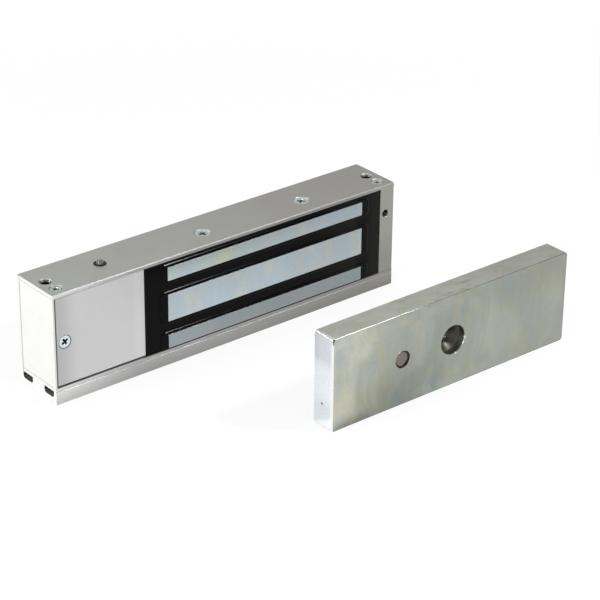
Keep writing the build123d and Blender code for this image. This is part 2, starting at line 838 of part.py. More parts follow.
# Armature plate: thick flat bar with a counterbored bolt hole, which has a conical seat, and a relieved
# hole for its guide pin
pin_x = armature_centre - guide_pin_offset
with BuildPart() as armature_plate:
    with BuildSketch(front_plane(armature_face)):
        with Locations((armature_centre, armature_middle)):
            RectangleRounded(armature_length, armature_height, armature_corner)
    extrude(amount=-armature_thickness)
    fillet(armature_plate.faces().sort_by(Axis.Y)[0].edges(), radius=armature_edge)
    fillet(armature_plate.faces().sort_by(Axis.Y)[-1].edges(), radius=armature_edge)
    bolt_face = front_plane(armature_face, armature_centre, armature_middle)
    with BuildSketch(profile_plane(bolt_face)):
        with BuildLine():
            Polyline(
                (0, 0),
                (armature_head_radius + armature_head_bevel, 0),
                (armature_head_radius, -armature_head_bevel),
                (armature_head_radius, -armature_head_depth),
                (armature_seat_radius, -armature_head_depth),
                (armature_bore_radius, -armature_seat_depth),
                (armature_bore_radius, -armature_thickness),
                (0, -armature_thickness),
                close=True,
            )
        make_face()
    revolve(axis=Axis(bolt_face.origin, bolt_face.z_dir), mode=Mode.SUBTRACT)
    with Locations(front_plane(armature_face, pin_x, armature_middle)):
        CounterBoreHole(guide_pin_radius, pin_relief_radius, pin_relief_depth, depth=armature_thickness)
save(armature_plate, "armature_plate")

# Guide pin, pressed in from the back, where its end stands out to enter the door
with BuildPart() as guide_pin:
    pin_length = armature_thickness - guide_pin_sunk + guide_pin_stand
    with BuildSketch(front_plane(armature_face + guide_pin_sunk)):
        with Locations((pin_x, armature_middle)):
            Circle(guide_pin_radius)
    extrude(amount=-pin_length)
    chamfer(guide_pin.edges().filter_by(GeomType.CIRCLE), length=guide_pin_bevel)
save(guide_pin, "guide_pin")
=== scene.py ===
"""Looks for the electromagnetic door lock: materials, finer pieces, floor, light and camera.

Everything is in metres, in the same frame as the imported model. MM turns the sizes below, which are in
millimetres, into metres. Colours are linear red, green and blue.
"""

import json
import math

import bmesh
import bpy
from mathutils import Matrix, Vector, noise


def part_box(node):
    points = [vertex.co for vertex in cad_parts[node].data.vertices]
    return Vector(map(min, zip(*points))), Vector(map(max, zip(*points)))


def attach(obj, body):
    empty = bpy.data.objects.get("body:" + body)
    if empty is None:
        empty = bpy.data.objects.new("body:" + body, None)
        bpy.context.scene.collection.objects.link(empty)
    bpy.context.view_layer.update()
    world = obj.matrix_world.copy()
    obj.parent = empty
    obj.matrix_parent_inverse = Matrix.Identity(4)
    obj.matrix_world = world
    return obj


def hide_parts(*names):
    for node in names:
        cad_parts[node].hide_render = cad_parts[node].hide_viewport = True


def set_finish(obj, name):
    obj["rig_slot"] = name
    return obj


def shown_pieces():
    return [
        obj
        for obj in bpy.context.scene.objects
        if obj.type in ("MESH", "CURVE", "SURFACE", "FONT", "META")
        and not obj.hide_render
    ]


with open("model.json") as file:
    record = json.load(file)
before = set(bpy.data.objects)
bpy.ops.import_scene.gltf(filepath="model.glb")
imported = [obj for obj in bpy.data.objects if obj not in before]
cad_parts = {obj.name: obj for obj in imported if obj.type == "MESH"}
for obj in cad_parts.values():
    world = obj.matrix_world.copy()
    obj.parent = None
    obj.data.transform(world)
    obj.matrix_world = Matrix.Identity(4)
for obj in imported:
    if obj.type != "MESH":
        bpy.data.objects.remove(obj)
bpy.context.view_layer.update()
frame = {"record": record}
scene = bpy.context.scene
MM = 0.001
CLOSE = 1e-4  # places nearer to each other than this are one place


# Boxes of the CAD nodes

def in_mm(node):
    """Lowest and highest corner of a CAD node, in millimetres."""
    low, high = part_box(node)
    return low / MM, high / MM


HOUSING = in_mm("housing")
BLOCK = in_mm("right_end_block")
COVER = in_mm("cover_plate")
CORE = in_mm("e_core")
RESIN = in_mm("potting_resin")
LENS = in_mm("lamp_lens")
PLATE = in_mm("armature_plate")
PIN = in_mm("guide_pin")
LOCK_END, LOCK_BACK, LOCK_TOP = HOUSING[1]
BASE_TOP = HOUSING[0].z


# Meshes

def new_object(name, bm):
    """A linked object with the mesh of bm, which is freed."""
    mesh = bpy.data.meshes.new(name)
    bm.to_mesh(mesh)
    bm.free()
    made = bpy.data.objects.new(name, mesh)
    scene.collection.objects.link(made)
    return made


def finish_mesh(name, bm, slot, replaced=(), smooth_angle=40.0):
    """Makes an object in metres of a mesh in millimetres, smooth but for its sharp edges."""
    bmesh.ops.recalc_face_normals(bm, faces=bm.faces)
    bmesh.ops.scale(bm, vec=(MM, MM, MM), verts=bm.verts)
    piece = new_object(name, bm)
    piece.data.shade_smooth()
    piece.data.set_sharp_from_angle(angle=math.radians(smooth_angle))
    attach(piece, "root")
    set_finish(piece, slot)
    if replaced:
        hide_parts(*replaced)


def ring_of(bm, radius, height, segments):
    """New vertices on a circle about Z, or a single one where the radius is 0."""
    if radius < CLOSE:
        return [bm.verts.new((0.0, 0.0, height))]
    angles = [math.tau * i / segments for i in range(segments)]
    return [bm.verts.new((radius * math.cos(a), radius * math.sin(a), height)) for a in angles]


def bridge(bm, a, b):
    """Faces between two rings with as many vertices, or between a ring and a single vertex."""
    count = max(len(a), len(b))
    for i in range(count):
        j = (i + 1) % count
        if len(a) == 1:
            bm.faces.new((a[0], b[i], b[j]))
        elif len(b) == 1:
            bm.faces.new((a[i], a[j], b[0]))
        else:
            bm.faces.new((a[i], a[j], b[j], b[i]))


def lathe(profile, segments=64):
    """A closed mesh turned about Z from (radius, height) points, the first and the last on the axis."""
    bm = bmesh.new()
    rings = [ring_of(bm, radius, height, segments) for radius, height in profile]
    for a, b in zip(rings, rings[1:]):
        bridge(bm, a, b)
    bmesh.ops.recalc_face_normals(bm, faces=bm.faces)
    return bm


def cut(target, cutter):
    """The target mesh less the cutter's, both in the same units."""
    base, tool = new_object("cut_target", target), new_object("cut_tool", cutter)
    modifier = base.modifiers.new("cut", "BOOLEAN")
    modifier.operation = "DIFFERENCE"
    modifier.solver = "EXACT"
    modifier.object = tool
    graph = bpy.context.evaluated_depsgraph_get()
    made = bpy.data.meshes.new_from_object(base.evaluated_get(graph))
    result = bmesh.new()
    result.from_mesh(made)
    for thing in (base, tool):
        mesh = thing.data
        bpy.data.objects.remove(thing)
        bpy.data.meshes.remove(mesh)
    bpy.data.meshes.remove(made)
    return result


def placed(bm, matrices):
    """One mesh that holds a copy of bm for each matrix; bm is freed."""
    out = bmesh.new()
    mesh = bpy.data.meshes.new("copied")
    bm.to_mesh(mesh)
    bm.free()
    for matrix in matrices:
        before = len(out.verts)
        out.from_mesh(mesh)
        out.verts.ensure_lookup_table()
        bmesh.ops.transform(out, matrix=matrix, verts=out.verts[before:])
    bpy.data.meshes.remove(mesh)
    return out


UP = Matrix.Identity(3)
TO_FRONT = Matrix(((1, 0, 0), (0, 0, -1), (0, 1, 0)))  # turns +Z to -Y


def place(spot, turn=0.0, face=UP):
    """A matrix that turns a mesh about its own Z, faces it and puts it at a spot."""
    return Matrix.Translation(spot) @ face.to_4x4() @ Matrix.Rotation(math.radians(turn), 4, "Z")


def smoothstep(low, high, value):
    """0 below low, 1 above high and a soft rise between."""
    t = min(1.0, max(0.0, (value - low) / (high - low)))
    return t * t * (3 - 2 * t)


# Countersunk screws

SCREW_EDGE = 0.14
END_HEAD, CORE_HEAD, COVER_HEAD = 3.5, 4.9, 4.0


def cross_cutter(cross, arm, depth):
    """A cross recess that narrows with its depth and ends in a cone."""
    bm = bmesh.new()
    rings = []
    for z, span, width in (
        (0.4, cross * 1.05, arm * 1.12),
        (-0.45 * depth, cross * 0.8, arm * 0.92),
        (-depth, cross * 0.52, arm * 0.74),
    ):
        s, w = span / 2, width / 2
        outline = [(s, -w), (s, w), (w, w), (w, s), (-w, s), (-w, w),
                   (-s, w), (-s, -w), (-w, -w), (-w, -s), (w, -s), (w, -w)]
        rings.append([bm.verts.new((x, y, z)) for x, y in outline])
    for a, b in zip(rings, rings[1:]):
        bridge(bm, a, b)
    bm.faces.new(rings[0])
    bridge(bm, rings[-1], [bm.verts.new((0, 0, -depth * 1.35))])
    bmesh.ops.recalc_face_normals(bm, faces=bm.faces)
    return bm


def screw(head, shank, length, cross, arm, depth=1.7, pitch=0.7):
    """A countersunk screw with a cross recess and a ringed thread, its face at Z 0."""
    profile = [
        (0, 0),
        (head - 2.2 * SCREW_EDGE, 0),
        (head - SCREW_EDGE, -0.02),
        (head - 0.35 * SCREW_EDGE, -0.35 * SCREW_EDGE),
        (head, -SCREW_EDGE),
        (head, -1.9 * SCREW_EDGE),
        (shank, -(head - shank) - SCREW_EDGE),
    ]
    z = -(head - shank) - 3 * SCREW_EDGE
    root = shank - 0.55 * pitch
    while z - pitch > -length + 0.6:
        profile += [(shank, z), (root, z - 0.45 * pitch), (root, z - 0.55 * pitch)]
        z -= pitch
    profile += [(shank, z), (shank - 0.6, -length), (0, -length)]
    return cut(lathe(profile), cross_cutter(cross, arm, depth))


def pair_spots(node, head):
    """Where the faces of a node's two upright screws are, one at each end of its box."""
    low, high = in_mm(node)
    y = (low.y + high.y) / 2
    return [(low.x + head, y, high.z), (high.x - head, y, high.z)]


def front_spot(node):
    """Where the face of a screw that points to the front is."""
    low, high = in_mm(node)
    return ((low.x + high.x) / 2, low.y, (low.z + high.z) / 2)


def add_screws(piece, node, shape, spots, turns, face=UP):
    """A node's screws in their finer form, each turned by its own angle."""
    places = [place(spot, turn, face) for spot, turn in zip(spots, turns)]
    finish_mesh(piece, placed(shape, places), "bright_zinc", [node], 32.0)


END_SPOTS = pair_spots("end_screws", END_HEAD)
CORE_SPOTS = pair_spots("core_screws", CORE_HEAD)
COVER_SPOT = front_spot("cover_screw")

end_shape = screw(END_HEAD, shank=2.0, length=12.0, cross=4.3, arm=0.95)
add_screws("end_screw_pair", "end_screws", end_shape, END_SPOTS, (28, 51))
core_shape = screw(CORE_HEAD, shank=3.0, length=13.5, cross=5.9, arm=1.2, depth=2.3, pitch=1.0)
add_screws("core_screw_pair", "core_screws", core_shape, CORE_SPOTS, (8, 37))
cover_shape = screw(COVER_HEAD, shank=2.0, length=9.0, cross=5.0, arm=1.45)
add_screws("cover_screw_single", "cover_screw", cover_shape, [COVER_SPOT], (32,), TO_FRONT)


# Potting resin

POLE = (CORE[1].z - CORE[0].z) / 6
POLE_SPANS = [
    (CORE[0].z, CORE[0].z + POLE),
    (CORE[0].z + 2 * POLE, CORE[0].z + 4 * POLE),
    (CORE[1].z - POLE, CORE[1].z),
]
POLE_CLEAR = 0.04
POLE_DEPTH = 6.0
RESIN_LEFT = RESIN[0].x + 2.5
PAD_HEIGHT = 0.55
RESIN_FRONT = RESIN[0].y + PAD_HEIGHT
LEDGE_BACK = COVER[1].y
PAD_SIDE, PAD_EDGE, PAD_CORNER = 6.1, 2.3, 4.2
PAD_RAMP, RAMP_SOFT = 0.65, 0.14
LIP, LIP_REACH = 0.04, 0.3
WALL_RISE, WALL_REACH = 0.22, 0.45
WAVES = ((0.02, 0.07, 0.0, 0.11), (0.004, 0.45, 3.0, 0.5))  # height, rate along x, layer, rate along z


def inside_rounded(x, z, x0, x1, z0, z1, corner):
    """How far a point lies inside a rectangle with rounded corners; negative outside."""
    dx = abs(x - (x0 + x1) / 2) - (x1 - x0) / 2 + corner
    dz = abs(z - (z0 + z1) / 2) - (z1 - z0) / 2 + corner
    return corner - math.hypot(max(dx, 0), max(dz, 0)) - min(max(dx, dz), 0)


def ramp(depth):
    """A straight slope between two levels, eased at both of its ends."""
    t = depth / PAD_RAMP
    if t <= -RAMP_SOFT:
        return 0.0
    if t < RAMP_SOFT:
        return (t + RAMP_SOFT) ** 2 / (4 * RAMP_SOFT)
    if t < 1 - RAMP_SOFT:
        return t
    if t < 1 + RAMP_SOFT:
        return 1 - (1 + RAMP_SOFT - t) ** 2 / (4 * RAMP_SOFT)
    return 1.0


def resin_height(x, z):
    """How far the cast resin stands out of its main level, in millimetres."""
    height = 0.0
    for low, high in POLE_SPANS:
        bottom = low - PAD_EDGE if low > RESIN[0].z + PAD_EDGE else RESIN[0].z - 4 * PAD_CORNER
        depth = inside_rounded(
            x, z, CORE[0].x - PAD_SIDE, CORE[1].x + PAD_SIDE, bottom, high + PAD_EDGE, PAD_CORNER
        )
        height = max(height, PAD_HEIGHT * ramp(depth))
        beside = max(CORE[0].x - x, x - CORE[1].x, low - z, z - high, 0.0)
        height += LIP * math.exp(-beside / LIP_REACH)
    wall = min(x - RESIN_LEFT, RESIN[1].x - x, z - RESIN[0].z, RESIN[1].z - z)
    if height < 0.4:
        height += WALL_RISE * math.exp(-max(wall, 0.0) / WALL_REACH)
    for size, along, layer, upward in WAVES:
        height += size * noise.noise(Vector((x * along, layer, z * upward)))
    return min(height, PAD_HEIGHT + 0.05)


def lines(low, high, marks, fine, coarse, reach):
    """Grid lines from low to high: fine near the marks, coarse elsewhere, and one on each mark."""
    out, at = [low], low
    for stop in sorted(m for m in marks if low < m < high) + [high]:
        while stop - at > 1e-9:
            near = min(abs(at - m) for m in marks + [low, high])
            step = fine if near < reach else coarse
            at = stop if stop - at < 1.5 * step else at + step
            out.append(at)
    return out


def over_pole(x, z):
    """Whether a place on the front lies over a pole, where the resin is open."""
    return CORE[0].x - POLE_CLEAR < x < CORE[1].x + POLE_CLEAR and any(
        low - POLE_CLEAR < z < high + POLE_CLEAR for low, high in POLE_SPANS
    )


def resin_face(bm):
    """The cast front as a grid, open at the poles."""
    x_marks = [CORE[0].x - PAD_SIDE, CORE[0].x - POLE_CLEAR, CORE[1].x + POLE_CLEAR, CORE[1].x + PAD_SIDE]
    z_marks = []
    for low, high in POLE_SPANS:
        z_marks += [low - PAD_EDGE, low - PAD_EDGE + PAD_RAMP, low - POLE_CLEAR]
        z_marks += [high + POLE_CLEAR, high + PAD_EDGE - PAD_RAMP, high + PAD_EDGE]
    xs = lines(RESIN_LEFT, RESIN[1].x, x_marks, fine=0.25, coarse=1.6, reach=5.0)
    zs = lines(RESIN[0].z, RESIN[1].z, z_marks, fine=0.12, coarse=0.7, reach=0.6)
    grid = [[bm.verts.new((x, RESIN_FRONT - resin_height(x, z), z)) for z in zs] for x in xs]
    for i in range(len(xs) - 1):
        for j in range(len(zs) - 1):
            if not over_pole((xs[i] + xs[i + 1]) / 2, (zs[j] + zs[j + 1]) / 2):
                bm.faces.new((grid[i][j], grid[i + 1][j], grid[i + 1][j + 1], grid[i][j + 1]))
    bmesh.ops.delete(bm, geom=[v for v in bm.verts if not v.link_faces], context="VERTS")


def strip(bm, edges, move):
    """Draws open edges out to where move puts them, and gives the new open edges."""
    made = bmesh.ops.extrude_edge_only(bm, edges=edges)["geom"]
    for v in (g for g in made if isinstance(g, bmesh.types.BMVert)):
        v.co = move(v.co)
    return [g for g in made if isinstance(g, bmesh.types.BMEdge) and len(g.link_faces) == 1]


def on_outside(v):
    """Whether a vertex of the front lies on the resin's outline."""
    return (
        min(abs(v.co.x - RESIN_LEFT), abs(v.co.x - RESIN[1].x)) < CLOSE
        or min(abs(v.co.z - RESIN[0].z), abs(v.co.z - RESIN[1].z)) < CLOSE
    )


def under_cover(c):
    """Moves the left side out, to where the ledge reaches under the cover."""
    return Vector((RESIN[0].x if abs(c.x - RESIN_LEFT) < CLOSE else c.x, c.y, c.z))


def build_resin():
    """The resin: its front, a pocket for each pole, the ledge under the cover's inner edge, and a back."""
    bm = bmesh.new()
    resin_face(bm)
    inner, outer = [], []
    for edge in [e for e in bm.edges if len(e.link_faces) == 1]:
        side = outer if on_outside(edge.verts[0]) and on_outside(edge.verts[1]) else inner
        side.append(edge)
    inner = strip(bm, inner, lambda c: Vector((c.x, CORE[0].y + POLE_DEPTH, c.z)))
    bmesh.ops.holes_fill(bm, edges=inner)
    outer = strip(bm, outer, lambda c: Vector((c.x, LEDGE_BACK, c.z)))
    outer = strip(bm, outer, under_cover)
    outer = strip(bm, outer, lambda c: Vector((c.x, RESIN[1].y, c.z)))
    bmesh.ops.holes_fill(bm, edges=outer)
    bmesh.ops.remove_doubles(bm, verts=bm.verts, dist=1e-5)
    finish_mesh("resin_cast", bm, "black_resin", ["potting_resin"])


build_resin()


# Indicator lamp

LENS_RADIUS, DOME_RISE = 2.4, 0.75
FLANGE_HEIGHT = 1.0


def build_lamp():
    """The clear dome on its flange, and the small cup that holds the diode's chip."""
    spots = [place(((LENS[0].x + LENS[1].x) / 2, 0, 0))]
    foot, flange = LENS[0].z, (LENS[1].x - LENS[0].x) / 2
    rim, centre = foot + FLANGE_HEIGHT, LOCK_TOP + DOME_RISE
    profile = [(0, foot), (flange - 0.05, foot), (flange, foot + 0.1), (flange, rim - 0.1),
               (flange - 0.07, rim), (LENS_RADIUS, rim)]
    for a in (math.radians(d) for d in range(0, 90, 6)):
        profile.append((LENS_RADIUS * math.cos(a), centre + LENS_RADIUS * math.sin(a)))
    profile.append((0, centre + LENS_RADIUS))
    finish_mesh("lamp_dome", placed(lathe(profile, 72), spots), "clear_lens", ["lamp_lens"])
    waist = LOCK_TOP - 0.9
    profile = [(0, waist - 0.9), (0.9, waist - 0.9), (1.05, waist), (1.35, waist + 0.7), (1.18, waist + 0.7),
               (0.62, waist + 0.05), (0, waist + 0.05)]
    finish_mesh("lamp_cup", placed(lathe(profile, 48), spots), "tinned_wire", smooth_angle=32.0)


build_lamp()


# Armature plate

PLATE_SIZE, PLATE_MIDDLE = PLATE[1] - PLATE[0], (PLATE[0] + PLATE[1]) / 2
BOLT_X, HOLE_Z = PLATE_MIDDLE.x, PLATE_MIDDLE.z
PIN_X = (PIN[0].x + PIN[1].x) / 2
EDGE_ROUND, CORNER_ROUND = 0.38, 2.0
SQUARE = 2.0
WEAR = ((0.07, 0.35, 0.15), (0.06, 1.3, 0.0))  # depth, rate, and a lift that wears more of the edge
NICK = Vector((PLATE[0].x + 0.6, PLATE[0].y, PLATE[1].z - 3))
NICK_REACH, NICK_DEPTH = 2.6, 0.55
BORE, BORE_DEPTH = 9.6, 4.5
SEAT, SEAT_DEPTH, SHAFT = 8.7, 9.2, 4.5
RELIEF, RELIEF_DEPTH, PIN_HOLE = 5.7, 1.6, 4.44
THROUGH = PLATE_SIZE.y + 1.5


def plate_block():
    """The bar with rounded corners and edges, sliced into squares."""
    bm = bmesh.new()
    bmesh.ops.create_cube(bm, size=1.0)
    bmesh.ops.scale(bm, vec=PLATE_SIZE, verts=bm.verts)
    bmesh.ops.translate(bm, vec=PLATE_MIDDLE, verts=bm.verts)
    corners = [e for e in bm.edges if abs(e.verts[0].co.y - e.verts[1].co.y) > 1]
    bmesh.ops.bevel(bm, geom=corners, offset=CORNER_ROUND, segments=6, profile=0.5, affect="EDGES")
    rims = [
        e for e in bm.edges
        if abs(e.verts[0].co.y - e.verts[1].co.y) < CLOSE
        and min(abs(e.verts[0].co.y - PLATE[0].y), abs(e.verts[0].co.y - PLATE[1].y)) < CLOSE
    ]
    bmesh.ops.bevel(bm, geom=rims, offset=EDGE_ROUND, segments=5, profile=0.5, affect="EDGES")
    for axis in (0, 2):
        steps = int(PLATE_SIZE[axis] / SQUARE)
        for i in range(1, steps):
            point, across = Vector((0, 0, 0)), Vector((0, 0, 0))
            point[axis] = PLATE[0][axis] + PLATE_SIZE[axis] * i / steps
            across[axis] = 1.0
            everything = bm.verts[:] + bm.edges[:] + bm.faces[:]
            bmesh.ops.bisect_plane(bm, geom=everything, plane_co=point, plane_no=across)
    return bm


def wear_edges(bm):
    """Draws the bar's edges in, a little and unevenly, with one nick near its upper left corner."""
    edge_zone = EDGE_ROUND + 0.01
    for v in bm.verts:
        depths = [min(v.co[i] - PLATE[0][i], PLATE[1][i] - v.co[i]) for i in range(3)]
        if sorted(depths)[1] >= edge_zone:
            continue
        pull = sum(depth * max(0.0, noise.noise(v.co * rate) + share) for depth, rate, share in WEAR)
        pull += NICK_DEPTH * max(0.0, 1 - (v.co - NICK).length / NICK_REACH)
        toward = Vector((0, 0, 0))
        for i in range(3):
            if depths[i] < edge_zone:
                toward[i] = 1.0 if v.co[i] < PLATE_MIDDLE[i] else -1.0
        v.co += toward.normalized() * pull


def build_plate():
    """The armature: the worn bar less the turned hole for its bolt and the hole of the guide pin."""
    bm = plate_block()
    wear_edges(bm)
    bolt = [
        (0, 1), (BORE + 1, 1), (BORE + 0.4, 0), (BORE + 0.12, -0.1), (BORE, -0.4), (BORE, 0.2 - BORE_DEPTH),
        (BORE - 0.1, 0.05 - BORE_DEPTH), (SEAT + 0.2, -BORE_DEPTH), (SEAT, -0.1 - BORE_DEPTH),
        (SHAFT + 0.3, -SEAT_DEPTH), (SHAFT + 0.05, -0.3 - SEAT_DEPTH), (SHAFT, -0.6 - SEAT_DEPTH),
        (SHAFT, -THROUGH), (0, -THROUGH),
    ]
    pin = [(0, 1), (RELIEF + 0.15, 1), (RELIEF, -0.1), (RELIEF, -RELIEF_DEPTH), (PIN_HOLE, -RELIEF_DEPTH),
           (PIN_HOLE, -THROUGH), (0, -THROUGH)]
    for profile, x, segments in ((bolt, BOLT_X, 96), (pin, PIN_X, 72)):
        cutter = placed(lathe(profile, segments), [place((x, PLATE[0].y, HOLE_Z), 0, TO_FRONT)])
        bm = cut(bm, cutter)
    finish_mesh("armature_bar", bm, "zinc_plated_plate", ["armature_plate"], 34.0)


build_plate()


# Guide pin

PIN_HEAD, PIN_SHANK, PIN_EDGE = 4.7, 4.4, 0.4
PIN_SINK = 0.45
STAR_ARMS, STAR_DEPTH, HOLLOW_DEPTH = 6, 0.1, 0.06


def pin_level(share, angle):
    """Height of the pin's face at a share of its radius: a shallow star round a small hollow."""
    star = (0.5 + 0.5 * math.cos(STAR_ARMS * angle)) ** 3
    star *= smoothstep(0.05, 0.3, share) * (1 - smoothstep(0.55, 0.85, share))
    return -STAR_DEPTH * star - HOLLOW_DEPTH * (1 - smoothstep(0.0, 0.25, share))


def build_pin():
    """The guide pin with its tool-marked face, sunk a little in the plate."""
    length = PIN[1].y - PIN[0].y - PIN_SINK
    count, segments = 26, 96
    bm = bmesh.new()
    rings = [ring_of(bm, 0.0, pin_level(0.0, 0.0), segments)]
    for k in range(1, count + 1):
        ring = ring_of(bm, (PIN_HEAD - PIN_EDGE) * k / count, 0.0, segments)
        for i, v in enumerate(ring):
            v.co.z = pin_level(k / count, math.tau * i / segments)
        rings.append(ring)
    for radius, z in (
        (PIN_HEAD - 0.3 * PIN_EDGE, -0.15), (PIN_HEAD, -PIN_EDGE), (PIN_HEAD, -0.6), (PIN_SHANK, -0.8),
        (PIN_SHANK, -length + PIN_EDGE), (PIN_SHANK - PIN_EDGE, -length),
    ):
        rings.append(ring_of(bm, radius, z, segments))
    for a, b in zip(rings, rings[1:]):
        bridge(bm, a, b)
    bm.faces.new(rings[-1])
    bm = placed(bm, [place((PIN_X, PIN[0].y + PIN_SINK, HOLE_Z), 12, TO_FRONT)])
    finish_mesh("guide_pin_turned", bm, "plain_steel_pin", ["guide_pin"])


build_pin()


# Material tools

def grey(level):
    """A neutral colour."""
    return (level, level, level)


def scaled(colour, factor, lift=0.0):
    """A colour made lighter or darker."""
    return tuple(min(1.0, c * factor + lift) for c in colour)


class Nodes:
    """A node tree and short ways to add to it."""

    def __init__(self, tree):
        self.tree = tree
        tree.nodes.clear()

    def add(self, kind, **settings):
        node = self.tree.nodes.new(kind)
        for key, value in settings.items():
            setattr(node, key, value)
        return node

    def join(self, source, target):
        """Links a socket to an input, or sets the input to a value."""
        if isinstance(source, bpy.types.NodeSocket):
            self.tree.links.new(source, target)
        elif isinstance(source, (tuple, list)) and len(source) == 3 and len(target.default_value) == 4:
            target.default_value = (*source, 1.0)
        else:
            target.default_value = source

    def fill(self, node, **inputs):
        """Links or sets a node's inputs; an underscore in a name stands for a space."""
        for key, value in inputs.items():
            self.join(value, node.inputs[key.replace("_", " ")])
        return node

    def parts(self, vector):
        node = self.add("ShaderNodeSeparateXYZ")
        self.join(vector, node.inputs[0])
        return node.outputs

    def math(self, operation, a, b=0.0, clamp=False):
        node = self.add("ShaderNodeMath", operation=operation, use_clamp=clamp)
        self.join(a, node.inputs[0])
        self.join(b, node.inputs[1])
        return node.outputs[0]

    def vector(self, operation, a, b=(0.0, 0.0, 0.0)):
        node = self.add("ShaderNodeVectorMath", operation=operation)
        self.join(a, node.inputs[0])
        self.join(b, node.inputs[1])
        return node.outputs

    def size(self, value):
        """A value without its sign."""
        return self.math("ABSOLUTE", value)

    def both(self, first, *others):
        """The product of shares."""
        for other in others:
            first = self.math("MULTIPLY", first, other)
        return first

    def plus(self, a, b, clamp=False):
        return self.math("ADD", a, b, clamp)

    def less(self, a, b):
        return self.math("SUBTRACT", a, b)

    def span(self, value, low, high, to_low=0.0, to_high=1.0):
        """A soft step: to_low where the value is at low or before it, to_high from high on."""
        node = self.add("ShaderNodeMapRange", interpolation_type="SMOOTHSTEP")
        self.fill(node, Value=value, From_Min=low, From_Max=high, To_Min=to_low, To_Max=to_high)
        return node.outputs["Result"]

    def band(self, value, start, full, fading, end):
        """1 from full to fading, and soft steps down to 0 at start and end."""
        return self.both(self.span(value, start, full), self.span(value, end, fading))

    def mix(self, share, a, b, blend="MIX"):
        node = self.add("ShaderNodeMix", data_type="RGBA", blend_type=blend)
        self.join(share, node.inputs["Factor"])
        self.join(a, node.inputs[6])
        self.join(b, node.inputs[7])
        return node.outputs[2]

    def white(self, kind, strength):
        """White light of one kind of shader."""
        return self.fill(self.add(kind), Color=grey(1.0), Strength=strength).outputs[0]

    def blend(self, share, low, high):
        """One shader turning into another."""
        node = self.add("ShaderNodeMixShader")
        for target, source in zip(node.inputs, (share, low, high)):
            self.join(source, target)
        return node.outputs[0]


class Paint(Nodes):
    """A material. x, y and z are millimetres from the origin, facing is where a surface looks."""

    def __init__(self, name, origin=(0, 0, 0)):
        self.material = bpy.data.materials.new(name)
        self.material.use_nodes = True
        super().__init__(self.material.node_tree)
        self.shader = self.add("ShaderNodeBsdfPrincipled")
        self.out = self.fill(self.add("ShaderNodeOutputMaterial"), Surface=self.shader.outputs["BSDF"])
        places = self.add("ShaderNodeTexCoord")
        self.mm = self.vector("MULTIPLY", places.outputs["Object"], grey(1 / MM))[0]
        self.origin = Vector(origin)
        self.x, self.y, self.z = self.parts(self.vector("SUBTRACT", self.mm, self.origin)[0])
        self.facing = self.parts(places.outputs["Normal"])

    def noise(self, scale, detail, rough, stretch=None, distortion=0.0):
        """Soft noise; stretch gives its rates along the three axes."""
        spot = self.mm
        if stretch:
            spot = self.fill(self.add("ShaderNodeMapping"), Vector=spot, Scale=stretch).outputs[0]
        node = self.add("ShaderNodeTexNoise")
        self.fill(node, Vector=spot, Scale=scale, Detail=detail, Roughness=rough, Distortion=distortion)
        return node.outputs["Fac"]

    def bump(self, height, distance, strength, under=None):
        node = self.fill(self.add("ShaderNodeBump"), Height=height, Distance=distance * MM, Strength=strength)
        if under is not None:
            self.fill(node, Normal=under)
        return node.outputs["Normal"]

    def edges(self, radius):
        """1 near convex and concave edges, 0 on flat ground."""
        rounded = self.fill(self.add("ShaderNodeBevel", samples=4), Radius=radius * MM)
        flat = self.add("ShaderNodeNewGeometry")
        same = self.vector("DOT_PRODUCT", rounded.outputs["Normal"], flat.outputs["Normal"])["Value"]
        return self.span(same, 0.97, 0.8)

    def ball(self, x, y, z, radius, soft):
        """1 within a radius of a place, fading out over the soft width."""
        gap = self.vector("DISTANCE", self.mm, self.origin + Vector((x, y, z)))["Value"]
        return self.span(gap, radius + soft, radius)

    def line(self, value, at, width):
        """1 where a value is close to a level, 0 from the width on."""
        return self.span(self.size(self.less(value, at)), width, width * 0.4)

    def specks(self, scale, size, shift=0.0):
        """Small round specks: 1 inside them."""
        shifted = self.vector("ADD", self.mm, grey(shift))[0]
        node = self.fill(self.add("ShaderNodeTexVoronoi"), Vector=shifted, Scale=scale)
        return self.span(node.outputs["Distance"], size, size * 0.5)

    def gloss(self, base, fields):
        """A roughness that varies with noise fields, each given with its least and greatest change."""
        for field, less, more in fields:
            base = self.plus(self.span(field, 0.3, 0.7, less, more), base, clamp=True)
        return base

    def set(self, **values):
        """Fills the shader's inputs and gives the finished material."""
        self.fill(self.shader, **values)
        return self.material


# Aluminium

# Painted light: the tops and the fronts are toned lighter at the left and darker to the right, where the
# light falls off.
TOP_SHADES = ((0.408, 0.418, 0.39), (0.325, 0.316, 0.298))  # at the left and right ends
FRONT_SHADES = ((0.74, 0.74, 0.73), (0.4, 0.4, 0.39), (0.272, 0.27, 0.254))  # left, middle and right
# The cut ends are pale; the base's end, low down, is made lighter still as painted light.
CUT_BASE, CUT_HOUSING = (0.91, 0.91, 0.9), (0.86, 0.86, 0.84)
# Painted shade deep in the countersinks, the tone of their upper wall, and a painted highlight on their far
# rim.
CONE_SHADE, CONE_WALL, CONE_HIGHLIGHT = (0.12, 0.12, 0.115), (0.27, 0.27, 0.26), (0.56, 0.56, 0.55)


